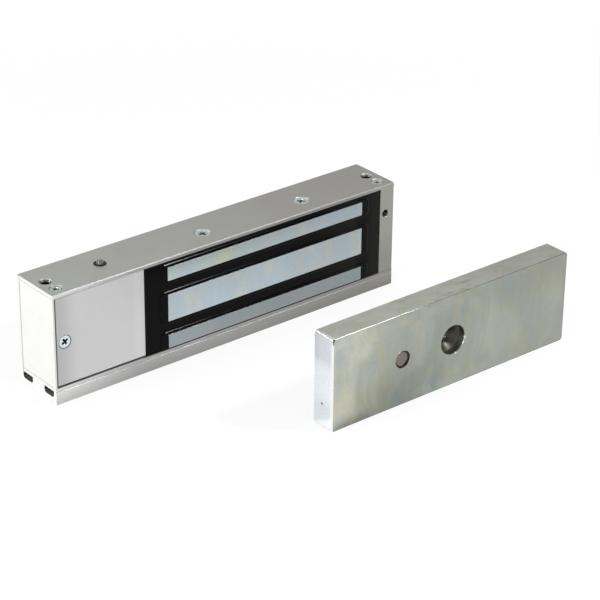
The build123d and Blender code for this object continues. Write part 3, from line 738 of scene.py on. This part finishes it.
def aluminium_front(p):
    """Painted light and shade on the fronts: bright at the left, darker to the right, painted shade low on
    the foot, and a lighter upper part on the right end block.
    """
    left, middle, right = FRONT_SHADES
    # Painted light: lighter at the left, darker to the right.
    tone = p.mix(p.span(p.x, -LOCK_END - 17, -LOCK_END + 78), left, middle)
    tone = p.mix(p.span(p.x, -LOCK_END + 58, LOCK_END - 23), tone, right)
    # Painted shade low on the foot, strongest at the left.
    foot = p.both(p.span(p.z, BASE_TOP - 0.5, 0), p.span(p.x, 0, -LOCK_END + 23, 0.7, 1))
    tone = p.mix(foot, tone, (0.77, 0.77, 0.76), "MULTIPLY")
    # Painted light on the upper part of the right end block.
    block = p.both(p.span(p.z, BLOCK[0].z + 7.2, BLOCK[0].z + 34.2),
                   p.span(p.x, LOCK_END - 33, LOCK_END - 8))
    return p.mix(block, tone, (0.335, 0.335, 0.305))


def aluminium_slopes(p):
    """The long chamfers and the foot's slope, with painted light that falls off to the right, and the
    countersinks in the top, with painted shade inside and a painted highlight crescent.
    """
    # Painted light: the chamfers' tones fall off to the right.
    high = p.mix(p.span(p.x, -LOCK_END, 0), (0.33, 0.33, 0.32), (0.235, 0.235, 0.228))
    low = p.mix(p.span(p.x, -LOCK_END + 13, -LOCK_END + 63), (0.26, 0.26, 0.255), (0.15, 0.15, 0.145))
    low = p.mix(p.span(p.x, 0, 60), low, (0.2, 0.2, 0.195))
    tone = p.mix(p.span(p.z, 20, 60), low, high)
    away = p.plus(p.facing[0], p.both(p.facing[1], 0.6))
    # A painted highlight crescent on the countersinks' far rim, over painted shade deeper in.
    crescent = p.both(p.span(away, -0.25, -0.65), p.span(p.z, LOCK_TOP - 0.5, LOCK_TOP - 0.25))
    cone = p.mix(p.span(p.z, LOCK_TOP - 0.7, LOCK_TOP - 0.4), CONE_SHADE, CONE_WALL)
    cone = p.mix(crescent, cone, CONE_HIGHLIGHT)
    return p.mix(p.span(p.size(p.y), LOCK_BACK - 0.8, LOCK_BACK - 1.4), tone, cone)


def aluminium_gaps(p, tone, fronts, ends):
    """The thin dark seams round the end blocks, painted shade in the gap under the core, and painted shade on
    the faces that lie inside.
    """
    seam = p.both(ends, p.span(p.z, BASE_TOP - 0.1, BASE_TOP + 0.3), p.line(p.y, BLOCK[1].y, 0.45))
    low_seam = p.both(p.line(p.z, BLOCK[0].z, 0.3), fronts, p.span(p.x, BLOCK[0].x - 2.8, BLOCK[0].x - 0.8))
    tone = p.mix(p.both(p.math("MAXIMUM", seam, low_seam), 0.7), tone, (0.1, 0.1, 0.085))
    # Painted shade in the gap under the core.
    under_core = p.both(
        p.band(p.x, RESIN[0].x - 0.6, RESIN[0].x + 0.4, RESIN[1].x - 1, RESIN[1].x), fronts,
        p.line(p.z, RESIN[0].z, 0.5),
    )
    tone = p.mix(p.both(under_core, 0.9), tone, (0.03, 0.03, 0.028))
    # Painted shade on the inner faces.
    inside = p.both(
        p.span(p.size(p.x), LOCK_END - 0.15, LOCK_END - 0.4),
        p.span(p.size(p.y), LOCK_BACK - 0.3, LOCK_BACK - 0.7), p.span(p.size(p.facing[2]), 0.5, 0.3),
    )
    return p.mix(inside, tone, (0.05, 0.05, 0.045))


def aluminium(name, rough):
    """Anodised extrusion, finely lined along its length."""
    p = Paint(name)
    line = p.noise(2.2, 4, 0.6, (0.012, 1, 1))
    fine = p.noise(9, 2, 0.5, (0.012, 1, 1))
    broad = p.noise(0.018, 3, 0.5)
    cloud = p.noise(0.09, 4, 0.55)
    edge = p.edges(0.4)
    ends = p.span(p.size(p.facing[0]), 0.6, 0.9)
    fronts = p.span(p.facing[1], -0.6, -0.9)
    slopes = p.both(p.band(p.facing[2], 0.55, 0.65, 0.78, 0.88), p.span(p.size(p.facing[0]), 0.75, 0.65))
    tone = p.mix(p.span(p.x, -LOCK_END, LOCK_END), *TOP_SHADES)
    tone = p.mix(fronts, tone, aluminium_front(p))
    tone = p.mix(ends, tone, p.mix(p.span(p.z, BASE_TOP - 0.2, BASE_TOP + 0.1), CUT_BASE, CUT_HOUSING))
    tone = p.mix(1, tone, p.mix(cloud, grey(0.95), grey(1)), "MULTIPLY")
    tone = p.mix(p.span(line, 0.35, 0.75, 0, 0.1), tone, scaled(TOP_SHADES[1], 0.8))
    spotted = p.both(p.specks(0.11, 0.035), p.span(broad, 0.45, 0.6, 0, 0.4))
    tone = p.mix(spotted, tone, scaled(TOP_SHADES[1], 0.5))
    tone = p.mix(slopes, tone, aluminium_slopes(p))
    # Lighter edges: wear, and a painted highlight.
    tone = p.mix(p.both(edge, 0.15), tone, (0.62, 0.62, 0.6))
    tone = aluminium_gaps(p, tone, fronts, ends)
    gloss = p.gloss(rough, [(line, -0.04, 0.04), (cloud, -0.03, 0.04)])
    gloss = p.math("SUBTRACT", gloss, p.both(edge, 0.08), clamp=True)
    shape = p.bump(p.plus(p.both(line, 0.6), p.both(fine, 0.4)), 0.008, 0.4)
    return p.set(Base_Color=tone, Roughness=gloss, Metallic=0.75, Normal=shape)


def cover_paint():
    """The cover's sheet: nearly even satin, a little lighter beside the resin, with a thin worn rim, and
    painted shade near its left end, along its left and top edges and round the screw.
    """
    p = Paint("cover_sheet")
    left, right, top = COVER[0].x, COVER[1].x, COVER[1].z
    screw_x, screw_y, screw_z = COVER_SPOT
    grain = p.noise(3, 3, 0.55, (1, 1, 0.02))
    cloud = p.noise(0.035, 3, 0.5)
    beside_resin = p.band(p.x, right - 9, right - 6, right - 3, right - 1)
    tone = p.mix(p.span(p.x, left, right), (0.575, 0.575, 0.58), (0.61, 0.61, 0.613))
    tone = p.mix(p.span(cloud, 0.35, 0.65, 0, 0.5), tone, (0.615, 0.615, 0.61))
    tone = p.mix(p.both(beside_resin, 0.5), tone, (0.67, 0.67, 0.675))
    tone = p.mix(p.span(grain, 0.4, 0.8, 0, 0.08), tone, (0.45, 0.45, 0.46))
    # Painted shade near the left end.
    tone = p.mix(p.span(p.x, left + 17, left + 2), tone, grey(0.8), "MULTIPLY")
    tone = p.mix(p.both(p.edges(0.35), 0.3), tone, grey(0.75))
    # Painted shade in the gap at the left edge.
    tone = p.mix(p.span(p.x, left + 0.75, left + 0.35, 0, 0.9), tone, (0.1, 0.095, 0.075))
    # Painted shade along the top edge.
    tone = p.mix(p.span(p.z, top - 0.75, top - 0.35, 0, 0.45), tone, (0.2, 0.2, 0.19))
    # Painted shade in the gap round the screw.
    screw_gap = p.ball(screw_x + 0.15, screw_y, screw_z - 0.2, COVER_HEAD + 0.35, 0.3)
    tone = p.mix(p.both(screw_gap, 0.9), tone, (0.08, 0.08, 0.075))
    gloss = p.gloss(0.44, [(grain, -0.03, 0.03), (cloud, -0.03, 0.03)])
    return p.set(Base_Color=tone, Roughness=gloss, Metallic=0.75, Normal=p.bump(grain, 0.006, 0.35))


# Zinc on the screws and on the core

SCREW_TINTS = ((0.68, 0.79, 0.86), (0.62, 0.7, 0.54), (0.8, 0.87, 0.9))  # blue, yellow and grey
CORE_TINTS = ((0.42, 0.505, 0.575), (0.55, 0.57, 0.475), (0.475, 0.53, 0.535))


def screw_recess(p, tone):
    """Paints shade into the cross recesses and shades the middles of the upright screws."""
    upright = p.span(p.z, LOCK_TOP - 13, LOCK_TOP - 12)
    cover_sunk = p.span(p.y, COVER_SPOT[1] + 0.15, COVER_SPOT[1] + 0.45)
    upright_sunk = p.span(p.z, END_SPOTS[0][2] - 0.1, END_SPOTS[0][2] - 0.45)
    middle = 0.0
    for head, spots in ((END_HEAD, END_SPOTS), (CORE_HEAD, CORE_SPOTS)):
        for spot in spots:
            middle = p.math("MAXIMUM", middle, p.ball(*spot, 0.35 * head, 0.45 * head))
    # Painted shade on the middles of the upright screws.
    tone = p.mix(p.both(middle, 0.55), tone, (0.36, 0.43, 0.36))
    # Painted shade in the recesses.
    sunk = p.both(p.mix(upright, cover_sunk, upright_sunk), p.span(upright, 0.2, 0.8, 0.95, 0.8))
    return p.mix(sunk, tone, (0.03, 0.034, 0.03))


def pole_shades(p, tone):
    """Painted light and shade: lighter at the left and on the upper pole, darker at the right, on the lower
    pole and on the rims.
    """
    low_pole, middle_pole, high_pole = POLE_SPANS
    left, right, top = CORE[0].x, CORE[1].x, CORE[1].z
    # Painted light and shade across the poles.
    tone = p.mix(p.span(p.x, left + 19.5, left + 99.5, 0.9, 0), tone, (0.84, 0.84, 0.86), "DIVIDE")
    tone = p.mix(p.span(p.x, left + 79.5, right - 1), tone, (0.82, 0.82, 0.8), "MULTIPLY")
    dark = p.both(p.span(p.z, middle_pole[0], low_pole[1]), p.span(p.x, left - 0.5, left + 59.5, 0.68, 0.86))
    tone = p.mix(dark, tone, scaled(CORE_TINTS[2], 0.52))
    light = p.both(
        p.band(p.z, middle_pole[1], high_pole[0], top - 7.45, top - 0.95),
        p.span(p.x, right - 21, left + 19.5, 0.4, 1),
    )
    tone = p.mix(light, tone, (0.87, 0.87, 0.88), "DIVIDE")
    # Painted shade on the chamfered rims.
    chamfer = p.span(p.facing[1], -0.97, -0.85)
    return p.mix(p.both(chamfer, 0.85), tone, (0.05, 0.055, 0.055))


def zinc(name, tints, rough, patch, rub, grit, dress):
    """Zinc-plated steel: clouds of faint tints, ground lines, worn edges, and what dress adds."""
    p = Paint(name)
    blue, yellow, silver = tints
    cloud = p.noise(patch, 5, 0.55, distortion=0.6)
    cloud_b = p.noise(patch * 1.7, 4, 0.6, (1, 1, 0.55), 0.3)
    broad = p.noise(patch * 0.35, 2, 0.5)
    mottle = p.noise(0.9, 4, 0.65)
    ground = p.noise(3.5, 2, 0.5, (0.02, 1, 1))
    tone = p.mix(p.span(cloud, 0.38, 0.62), blue, silver)
    tone = p.mix(p.span(cloud_b, 0.5, 0.72, 0, 0.85), tone, yellow)
    tone = p.mix(p.span(broad, 0.35, 0.65, 0, 0.16), tone, (0.95, 0.97, 1), "SCREEN")
    tone = p.mix(p.span(mottle, 0.3, 0.75, 0, grit), tone, scaled(silver, 0.6))
    spotted = p.both(p.specks(0.13, 0.05, 7), p.span(broad, 0.5, 0.6, 0, 0.5))
    tone = p.mix(spotted, tone, (0.16, 0.16, 0.14))
    tone = p.mix(p.both(p.edges(0.35), rub), tone, scaled(silver, 1.3))
    tone = dress(p, tone)
    gloss = p.gloss(rough, [(mottle, -0.05, 0.06), (cloud, -0.04, 0.05)])
    shape = p.bump(p.plus(p.both(ground, 0.5), p.both(mottle, 0.5)), 0.012, 0.45)
    return p.set(Base_Color=tone, Roughness=gloss, Metallic=1, Normal=shape)


# The armature plate's zinc, with its places measured from the box's lowest corner

HOLE_UP = HOLE_Z - PLATE[0].z
BOLT_ALONG, PIN_ALONG = BOLT_X - PLATE[0].x, PIN_X - PLATE[0].x

# How far right, back and down from the upper left corner, and the radius
NICK_SPOTS = ((0.7, 0.3, 0.6, 0.5), (0.4, 0.2, 1.6, 0.45), (0.15, 0.1, 2.7, 0.4), (0.2, 0.0, 3.8, 0.25))


def plate_face(p, cloud, cloud_b, streak, hatch):
    """Streaked blue, yellow and grey tints in soft clouds."""
    blue = p.noise(0.06, 4, 0.6, (1, 1, 0.4))
    shade = p.noise(0.035, 5, 0.6, (1, 1, 0.7), 0.8)
    tone = p.mix(p.span(cloud, 0.32, 0.68), (0.355, 0.395, 0.37), (0.375, 0.395, 0.325))
    tone = p.mix(p.span(cloud_b, 0.41, 0.64, 0, 0.85), tone, (0.425, 0.41, 0.275))
    tone = p.mix(p.span(blue, 0.45, 0.68, 0, 0.85), tone, (0.305, 0.375, 0.405))
    tone = p.mix(p.span(streak, 0.42, 0.78, 0, 0.3), tone, (0.455, 0.47, 0.4))
    tone = p.mix(p.span(hatch, 0.5, 0.8, 0, 0.2), tone, (0.29, 0.34, 0.33))
    tone = p.mix(p.span(shade, 0.35, 0.65), tone, (0.84, 0.84, 0.83), "MULTIPLY")
    return p.mix(p.span(shade, 0.5, 0.3, 0, 0.25), tone, (0.5, 0.51, 0.46))


def plate_shades(p, tone):
    """Painted light and shade: lighter at the left and rising to the right of the middle, darker downwards,
    at the lower left corner and at the far right.
    """
    top = PLATE_SIZE.z
    # Painted light and shade across the face.
    tone = p.mix(p.span(p.x, -8, 82, 1, 0), tone, (0.68, 0.71, 0.74), "DIVIDE")
    tone = p.mix(p.span(p.x, 40, PLATE_SIZE.x, 0, 0.5), tone, (0.3, 0.31, 0.28))
    rising = p.both(p.span(p.x, 75, 125), p.span(p.z, top - 4, 22))
    tone = p.mix(rising, tone, (0.91, 0.91, 0.92), "DIVIDE")
    falling = p.both(p.span(p.z, 48, 2), p.band(p.x, 4, 30, 42, 98))
    tone = p.mix(falling, tone, (0.64, 0.655, 0.65), "MULTIPLY")
    pale = p.both(p.span(p.x, 22, 8), p.band(p.z, 6, 12, 22, 34))
    tone = p.mix(pale, tone, (0.9, 0.91, 0.92), "DIVIDE")
    # Painted shade at the lower left corner.
    corner = p.both(p.span(p.z, 8.5, 0.5), p.span(p.x, 46, 10), p.span(p.x, -1, 6, 0.6, 1))
    return p.mix(corner, tone, (0.54, 0.54, 0.56), "MULTIPLY")


def plate_top(p):
    """The narrow upper face: warm grey with brown stains."""
    blot = p.noise(0.09, 6, 0.7, (0.55, 1, 1), 0.8)
    tone = p.mix(p.span(blot, 0.35, 0.65), (0.54, 0.555, 0.49), (0.465, 0.475, 0.4))
    stained = p.both(p.span(blot, 0.52, 0.66), p.band(p.x, 50, 75, 105, 130))
    tone = p.mix(p.both(stained, 0.45), tone, (0.17, 0.165, 0.12))
    return p.mix(p.span(p.x, 100, 150), tone, (0.9, 0.89, 0.88), "MULTIPLY")


def plate_end(p, cloud_b):
    """The bright sawn ends, with painted light: brightest low down and along the front edge."""
    tone = p.mix(p.span(cloud_b, 0.35, 0.65), (0.6, 0.64, 0.66), (0.68, 0.71, 0.73))
    # Painted light: lighter low down, white at the foot and along the front edge.
    tone = p.mix(p.span(p.z, 44, 22, 0, 0.8), tone, (0.76, 0.82, 0.85))
    half_way = p.band(p.z, 12, 22, 38, 47)
    tone = p.mix(p.both(half_way, 0.7), tone, (0.88, 0.93, 0.95))
    level = p.plus(p.z, p.both(p.y, 0.5))
    tone = p.mix(p.span(level, 11, 7), tone, grey(1))
    return p.mix(p.span(p.y, 3.2, 0.6, 0, 0.7), tone, (0.94, 0.96, 0.97))


def plate_rims(p, tone, mottle, streak):
    """The front face's edges: a painted highlight on the upper rim that turns to a dark line to the right,
    painted highlights on the left edges, and a dark lower edge.
    """
    top = PLATE_SIZE.z
    front_edge = p.span(p.y, 0.3, 0.12)
    top_edge = p.span(p.z, top - 0.3, top - 0.12)
    left_edge = p.span(p.x, 0.9, 0.5)
    wide_rim = p.both(p.span(p.y, 0.45, 0.2), p.span(p.z, top - 0.45, top - 0.2))
    ragged = p.plus(p.x, p.both(mottle, 30))
    dark_part = p.span(ragged, 66, 92, 0.15, 0.85)
    rim_highlight = p.both(p.span(ragged, 88, 72), p.span(streak, 0.25, 0.45, 0.35, 1))
    # Painted highlights on the upper rim and the left edges; dark lines on the rim's right part and the lower
    # edge.
    for share, colour in (
        (p.both(wide_rim, dark_part), (0.11, 0.1, 0.08)),
        (p.both(front_edge, top_edge, rim_highlight), (0.74, 0.75, 0.73)),
        (p.both(left_edge, p.span(p.z, top - 1.2, top - 0.7)), (0.96, 0.98, 0.98)),
        (p.both(left_edge, p.span(p.y, 0.7, 0.3)), (0.85, 0.86, 0.86)),
        (p.both(front_edge, p.span(p.z, 0.8, 0.3)), (0.17, 0.16, 0.13)),
    ):
        tone = p.mix(share, tone, colour)
    return tone


def plate_marks(p, tone):
    """The dark nick at the upper left corner, a pit in the left end and a dull patch beside the pin."""
    top = PLATE_SIZE.z
    for x, y, z, radius in NICK_SPOTS:
        tone = p.mix(p.ball(x, y, top - z, radius, 0.45), tone, (0.1, 0.095, 0.07))
    tone = p.mix(p.ball(0, 9.5, 15.5, 0.5, 0.7), tone, (0.2, 0.21, 0.17))
    dull = p.ball(PIN_ALONG - 11, 0, HOLE_UP - 7, 1, 10)
    return p.mix(p.both(dull, 0.35), tone, (0.33, 0.32, 0.28))


def plate_bore(p, tone, mottle, radius, bore):
    """The turned hole's dull wall and seat, darkened further with painted shade, with a painted highlight on
    the seat, painted shade in the gap round the pin, and painted glints.
    """
    # The bore's wall: dull and dark of its own, and darkened further as painted shade.
    tone = p.mix(bore, tone, p.mix(mottle, (0.125, 0.127, 0.098), (0.19, 0.19, 0.147)))
    across = p.plus(p.less(p.x, BOLT_ALONG), p.less(p.z, HOLE_UP))
    # Painted shade on the seat, deeper towards the upper right.
    seat = p.mix(p.span(across, 1, 8), (0.066, 0.066, 0.053), (0.045, 0.045, 0.036))
    # A painted highlight on the seat's lower left.
    seat_highlight = p.ball(BOLT_ALONG - 4, 8, HOLE_UP - 4.2, 1, 3)
    seat = p.mix(seat_highlight, seat, (0.24, 0.24, 0.215))
    seat = p.mix(p.span(radius, SHAFT + 0.3, SHAFT + 0.1), seat, (0.26, 0.265, 0.21))
    tone = p.mix(p.both(bore, p.span(radius, SEAT + 0.3, SEAT), 0.85), tone, seat)
    # Painted glints on the bore's rim.
    for x, z in ((2.5, -9.6), (9.8, -1.2)):
        tone = p.mix(p.ball(BOLT_ALONG + x, 0.3, HOLE_UP + z, 0.45, 0.6), tone, (0.9, 0.91, 0.9))
    # Painted shade in the gap round the pin.
    pin_gap = p.both(p.ball(PIN_ALONG, 1, HOLE_UP, RELIEF - 0.1, 0.3), p.span(p.y, 0.1, 0.5))
    tone = p.mix(pin_gap, tone, (0.09, 0.08, 0.06))
    # A painted highlight on the rim above and left of the pin.
    return p.mix(p.ball(PIN_ALONG - 2.6, 0.3, HOLE_UP + 5, 0.4, 0.6), tone, (0.85, 0.86, 0.84))


def plate_paint():
    """The armature plate: streaked tints on its face, stains on top, bright sawn ends, a turned hole."""
    p = Paint("plate_zinc", PLATE[0])
    cloud = p.noise(0.028, 4, 0.55, (1, 1, 0.8), 0.5)
    cloud_b = p.noise(0.06, 4, 0.6, (1, 1, 0.45), 0.4)
    streak = p.noise(0.55, 4, 0.6, (1, 1, 0.05))
    hatch = p.noise(1.6, 3, 0.6, (1, 1, 0.12))
    mottle = p.noise(0.8, 4, 0.65)
    sideways, upwards = p.less(p.x, BOLT_ALONG), p.less(p.z, HOLE_UP)
    radius = p.math("SQRT", p.plus(p.math("POWER", sideways, 2), p.math("POWER", upwards, 2)))
    bore = p.both(p.span(radius, BORE + 0.3, BORE + 0.1), p.span(p.y, 0.25, 0.9))
    tone = plate_shades(p, plate_face(p, cloud, cloud_b, streak, hatch))
    tone = p.mix(p.span(p.facing[2], 0.6, 0.9), tone, plate_top(p))
    tone = p.mix(p.span(p.size(p.facing[0]), 0.6, 0.9), tone, plate_end(p, cloud_b))
    tone = p.mix(p.span(mottle, 0.3, 0.75, 0, 0.16), tone, (0.27, 0.27, 0.25))
    tone = plate_rims(p, tone, mottle, streak)
    tone = plate_marks(p, tone)
    tone = plate_bore(p, tone, mottle, radius, bore)
    gloss = p.plus(p.span(mottle, 0.3, 0.7, 0.31, 0.42), p.span(cloud, 0.3, 0.7, -0.03, 0.05))
    gloss = p.plus(gloss, p.both(bore, 0.04), clamp=True)
    shape = p.bump(p.plus(p.both(hatch, 0.5), p.both(mottle, 0.5)), 0.01, 0.4)
    turned = p.math("SINE", p.both(p.plus(radius, p.plus(p.y, PLATE[0].y)), 5))
    shape = p.bump(p.both(turned, bore), 0.008, 0.2, shape)
    return p.set(Base_Color=tone, Roughness=gloss, Metallic=1, Normal=shape)


# Resin, lens, pin and mouldings

def resin_paint():
    """Glossy black, a little lighter at the right but for the strip beside the core's end."""
    p = Paint("cast_resin")
    core_end = CORE[1].x
    flow = p.noise(0.05, 3, 0.5, (0.5, 1, 1.4))
    fine = p.noise(1.4, 4, 0.6)
    rub = p.noise(0.35, 5, 0.7, (0.4, 1, 1))
    tone = p.mix(flow, (0.0012, 0.0011, 0.0011), (0.0026, 0.0024, 0.0022))
    tone = p.mix(p.span(p.x, core_end - 46, core_end + 19), tone, (0.0105, 0.0105, 0.0085))
    beside = p.band(p.x, core_end - 6, core_end - 2, core_end + 2.5, core_end + 12)
    tone = p.mix(p.both(beside, 0.75), tone, (0.0015, 0.0014, 0.0012))
    tone = p.mix(p.span(rub, 0.58, 0.78, 0, 0.2), tone, (0.013, 0.012, 0.011))
    tone = p.mix(p.both(p.specks(0.35, 0.055), 0.1), tone, (0.08, 0.077, 0.074))
    gloss = p.plus(p.span(flow, 0.3, 0.7, 0.11, 0.15), p.span(rub, 0.5, 0.8, 0, 0.05))
    gloss = p.plus(gloss, p.span(fine, 0.3, 0.7, -0.02, 0.03), clamp=True)
    shape = p.bump(flow, 0.06, 0.25, p.bump(fine, 0.004, 0.3))
    return p.set(Base_Color=tone, Roughness=gloss, Normal=shape, Specular_IOR_Level=0.06)


def lens_paint():
    """Clear moulding with a faint swirl."""
    p = Paint("lamp_lens_clear")
    swirl = p.noise(0.8, 2, 0.5)
    tone = p.mix(swirl, (0.26, 0.27, 0.28), (0.35, 0.36, 0.37))
    gloss = p.span(swirl, 0.3, 0.7, 0.03, 0.07)
    return p.set(Base_Color=tone, Roughness=gloss, Normal=p.bump(swirl, 0.02, 0.3), IOR=1.5,
                 Transmission_Weight=0.72, Coat_Weight=1.0, Coat_Roughness=0.03)


def pin_paint():
    """Plain steel, mottled, with fine tool marks that fan out from its middle."""
    p = Paint("pin_steel")
    angle = p.math("ARCTAN2", p.less(p.z, HOLE_Z), p.less(p.x, PIN_X))
    fan = p.math("SINE", p.both(angle, 24))
    mottle = p.noise(1.5, 4, 0.65)
    tone = p.mix(p.span(mottle, 0.3, 0.7), (0.155, 0.137, 0.112), (0.235, 0.213, 0.177))
    tone = p.mix(p.span(fan, 0.2, 1, 0, 0.25), tone, (0.32, 0.295, 0.25))
    gloss = p.span(mottle, 0.3, 0.7, 0.36, 0.52)
    shape = p.bump(p.plus(p.both(fan, 0.4), mottle), 0.02, 0.4)
    return p.set(Base_Color=tone, Roughness=gloss, Metallic=1, Normal=shape)


def plain(name, colour, rough, grain=0.02, grain_scale=1.2, metal=0.0, level=0.5, dust=0.2):
    """Moulded, dipped or drawn: fine grain, rubbed edges and a little dust."""
    p = Paint(name)
    fine = p.noise(grain_scale, 4, 0.6)
    broad = p.noise(0.06, 3, 0.5)
    tone = p.mix(broad, scaled(colour, 0.9), scaled(colour, 1.1))
    tone = p.mix(p.both(p.edges(0.3), 0.25), tone, scaled(colour, 1.4, 0.03))
    tone = p.mix(p.both(p.specks(0.5, 0.06), dust), tone, (0.45, 0.44, 0.42))
    gloss = p.gloss(rough, [(fine, -0.05, 0.05), (broad, -0.04, 0.04)])
    shape = p.bump(fine, grain, 0.5)
    return p.set(Base_Color=tone, Roughness=gloss, Metallic=metal, Normal=shape, Specular_IOR_Level=level)


# A material for each slot

LOOKS = {
    "mill_aluminium": aluminium("extruded_plate", 0.4),
    "satin_aluminium": aluminium("extruded_housing", 0.42),
    "brushed_aluminium": cover_paint(),
    "bright_zinc": zinc("screw_zinc", SCREW_TINTS, 0.2, patch=0.3, rub=0.3, grit=0.35, dress=screw_recess),
    "zinc_plated_core": zinc("core_zinc", CORE_TINTS, 0.36, patch=0.035, rub=0, grit=0.22, dress=pole_shades),
    "zinc_plated_plate": plate_paint(),
    "plain_steel_pin": pin_paint(),
    "black_resin": resin_paint(),
    "clear_lens": lens_paint(),
}
for name, colour, rough, more in (
    ("bobbin_nylon", (0.7, 0.68, 0.6), 0.5, {}),
    ("enamelled_copper", (0.5, 0.22, 0.1), 0.3, {"grain": 0.05, "grain_scale": 2.0, "metal": 1.0}),
    ("black_moulding", grey(0.006), 0.3, {"level": 0.15, "dust": 0.05}),
    ("board_laminate", (0.02, 0.13, 0.05), 0.35, {"grain": 0.01}),
    ("plated_brass", (0.6, 0.55, 0.38), 0.3, {"grain": 0.01, "metal": 1.0}),
    ("green_moulding", (0.04, 0.22, 0.08), 0.5, {}),
    ("blue_moulding", (0.02, 0.06, 0.25), 0.35, {}),
    ("varistor_epoxy", (0.02, 0.09, 0.35), 0.3, {"grain": 0.06, "grain_scale": 0.8}),
    ("red_moulding", (0.35, 0.02, 0.015), 0.4, {}),
    ("red_insulation", (0.35, 0.015, 0.015), 0.42, {}),
    ("white_insulation", (0.72, 0.72, 0.69), 0.42, {}),
    ("tinned_wire", grey(0.62), 0.28, {"grain": 0.01, "grain_scale": 1.5, "metal": 1.0}),
    ("black_rubber", grey(0.015), 0.65, {"grain": 0.04, "grain_scale": 1.5, "level": 0.3}),
):
    LOOKS[name] = plain(name, colour, rough, **more)

slot_of = {part["node"]: part["material_slot"] for part in frame["record"]["subparts"]}
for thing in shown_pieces():
    slot = thing.get("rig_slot") or slot_of[thing.name]
    thing.data.materials.clear()
    thing.data.materials.append(LOOKS[slot])


# Floor

FLOOR_REACH, FLOOR_DROP = 14.0, 0.0002
GLOW_NEAR, GLOW_FAR = 250.0, 650.0


def add_floor():
    """White paper, which takes shadows near the lock and fades to plain white away from it."""
    mesh = bpy.data.meshes.new("floor")
    corners = [(x * FLOOR_REACH, y * FLOOR_REACH, 0) for x, y in ((-1, -1), (1, -1), (1, 1), (-1, 1))]
    mesh.from_pydata(corners, [], [(0, 1, 2, 3)])
    floor = bpy.data.objects.new("floor", mesh)
    floor.location.z = -FLOOR_DROP
    scene.collection.objects.link(floor)
    p = Paint("floor_white")
    p.set(Base_Color=grey(0.86), Roughness=0.9, Specular_IOR_Level=0)
    path = p.add("ShaderNodeLightPath")
    seen = p.plus(path.outputs["Is Camera Ray"], path.outputs["Is Glossy Ray"])
    seen = p.plus(seen, path.outputs["Is Transmission Ray"], clamp=True)
    share = p.both(seen, p.span(p.vector("LENGTH", p.mm)["Value"], GLOW_NEAR, GLOW_FAR, 0.8, 1))
    glow = p.white("ShaderNodeEmission", 1.0)
    p.fill(p.out, Surface=p.blend(share, p.shader.outputs[0], glow))
    mesh.materials.append(p.material)


# Surroundings

AMBIENT = 0.55
FALL_START, FALL_END, FALL_TO = 0.05, 0.5, 0.5  # heights of the direction, and the brightness above


def add_world():
    """White to the eye and through glass; in reflections it falls off above the horizon, as in a studio."""
    world = bpy.data.worlds.new("studio")
    scene.world = world
    world.use_nodes = True
    w = Nodes(world.node_tree)
    path = w.add("ShaderNodeLightPath")
    height = w.parts(w.add("ShaderNodeTexCoord").outputs["Generated"])[2]
    mirrored = w.white("ShaderNodeBackground", w.span(height, FALL_START, FALL_END, 1.0, FALL_TO))
    diffuse = w.white("ShaderNodeBackground", AMBIENT)
    seen = w.white("ShaderNodeBackground", 1.0)
    direct = w.plus(path.outputs["Is Camera Ray"], path.outputs["Is Transmission Ray"], clamp=True)
    whole = w.blend(direct, w.blend(path.outputs["Is Glossy Ray"], diffuse, mirrored), seen)
    w.fill(w.add("ShaderNodeOutputWorld"), Surface=whole)


# Lamps and camera

# The place in metres, and the lens and sensor in millimetres, as fitted to the corners in the photo
CAMERA_AT = (-0.8048, -1.0604, 0.6955)
CAMERA_YAW, CAMERA_PITCH, CAMERA_ROLL = math.radians(39.54), math.radians(26.85), math.radians(0.59)
CAMERA_LENS, CAMERA_SENSOR = 141.56, 36.0


def add_area(name, at, target, size, power, colour=(1.0, 1.0, 1.0)):
    """A rectangular lamp at a place, turned to a target; places and sizes are in metres."""
    data = bpy.data.lights.new(name, "AREA")
    data.shape = "RECTANGLE"
    data.size, data.size_y = size
    data.energy = power
    data.color = colour
    lamp = bpy.data.objects.new(name, data)
    lamp.location = at
    lamp.rotation_mode = "QUATERNION"
    lamp.rotation_quaternion = (Vector(target) - Vector(at)).to_track_quat("-Z", "Y")
    scene.collection.objects.link(lamp)


def add_camera():
    """The photo's camera: yaw from +Y to +X, pitch down, roll about its own line of sight."""
    yaw, pitch, roll = CAMERA_YAW, CAMERA_PITCH, CAMERA_ROLL
    forward = Vector((math.sin(yaw) * math.cos(pitch), math.cos(yaw) * math.cos(pitch), -math.sin(pitch)))
    level = Vector((math.cos(yaw), -math.sin(yaw), 0.0))
    upright = level.cross(forward)
    right = math.cos(roll) * level + math.sin(roll) * upright
    up = math.cos(roll) * upright - math.sin(roll) * level
    data = bpy.data.cameras.new("camera")
    data.lens = CAMERA_LENS
    data.sensor_width = CAMERA_SENSOR
    data.clip_start, data.clip_end = 0.05, 100.0
    camera = bpy.data.objects.new("camera", data)
    turned = Matrix((right, up, -forward)).transposed().to_4x4()
    camera.matrix_world = Matrix.Translation(CAMERA_AT) @ turned
    scene.collection.objects.link(camera)
    scene.camera = camera


add_floor()
add_world()
add_area("left_key", at=(-1.35, -0.15, 0.45), target=(-0.05, 0.0, 0.03), size=(0.8, 0.8), power=14.5)
add_area("overhead", at=(0.25, 0.45, 1.5), target=(0.02, -0.05, 0.0), size=(1.2, 1.2), power=6.0)
add_area("slope_light", at=(0.38, -0.53, 0.617), target=(-0.05, -0.02, 0.05), size=(0.07, 0.1), power=3.9,
         colour=(0.96, 0.94, 1.0))
add_area("edge_light", at=(-0.57, 0.68, 0.74), target=(-0.025, -0.14, 0.06), size=(0.14, 0.14), power=1.2)
add_camera()

scene.view_settings.view_transform = "Standard"
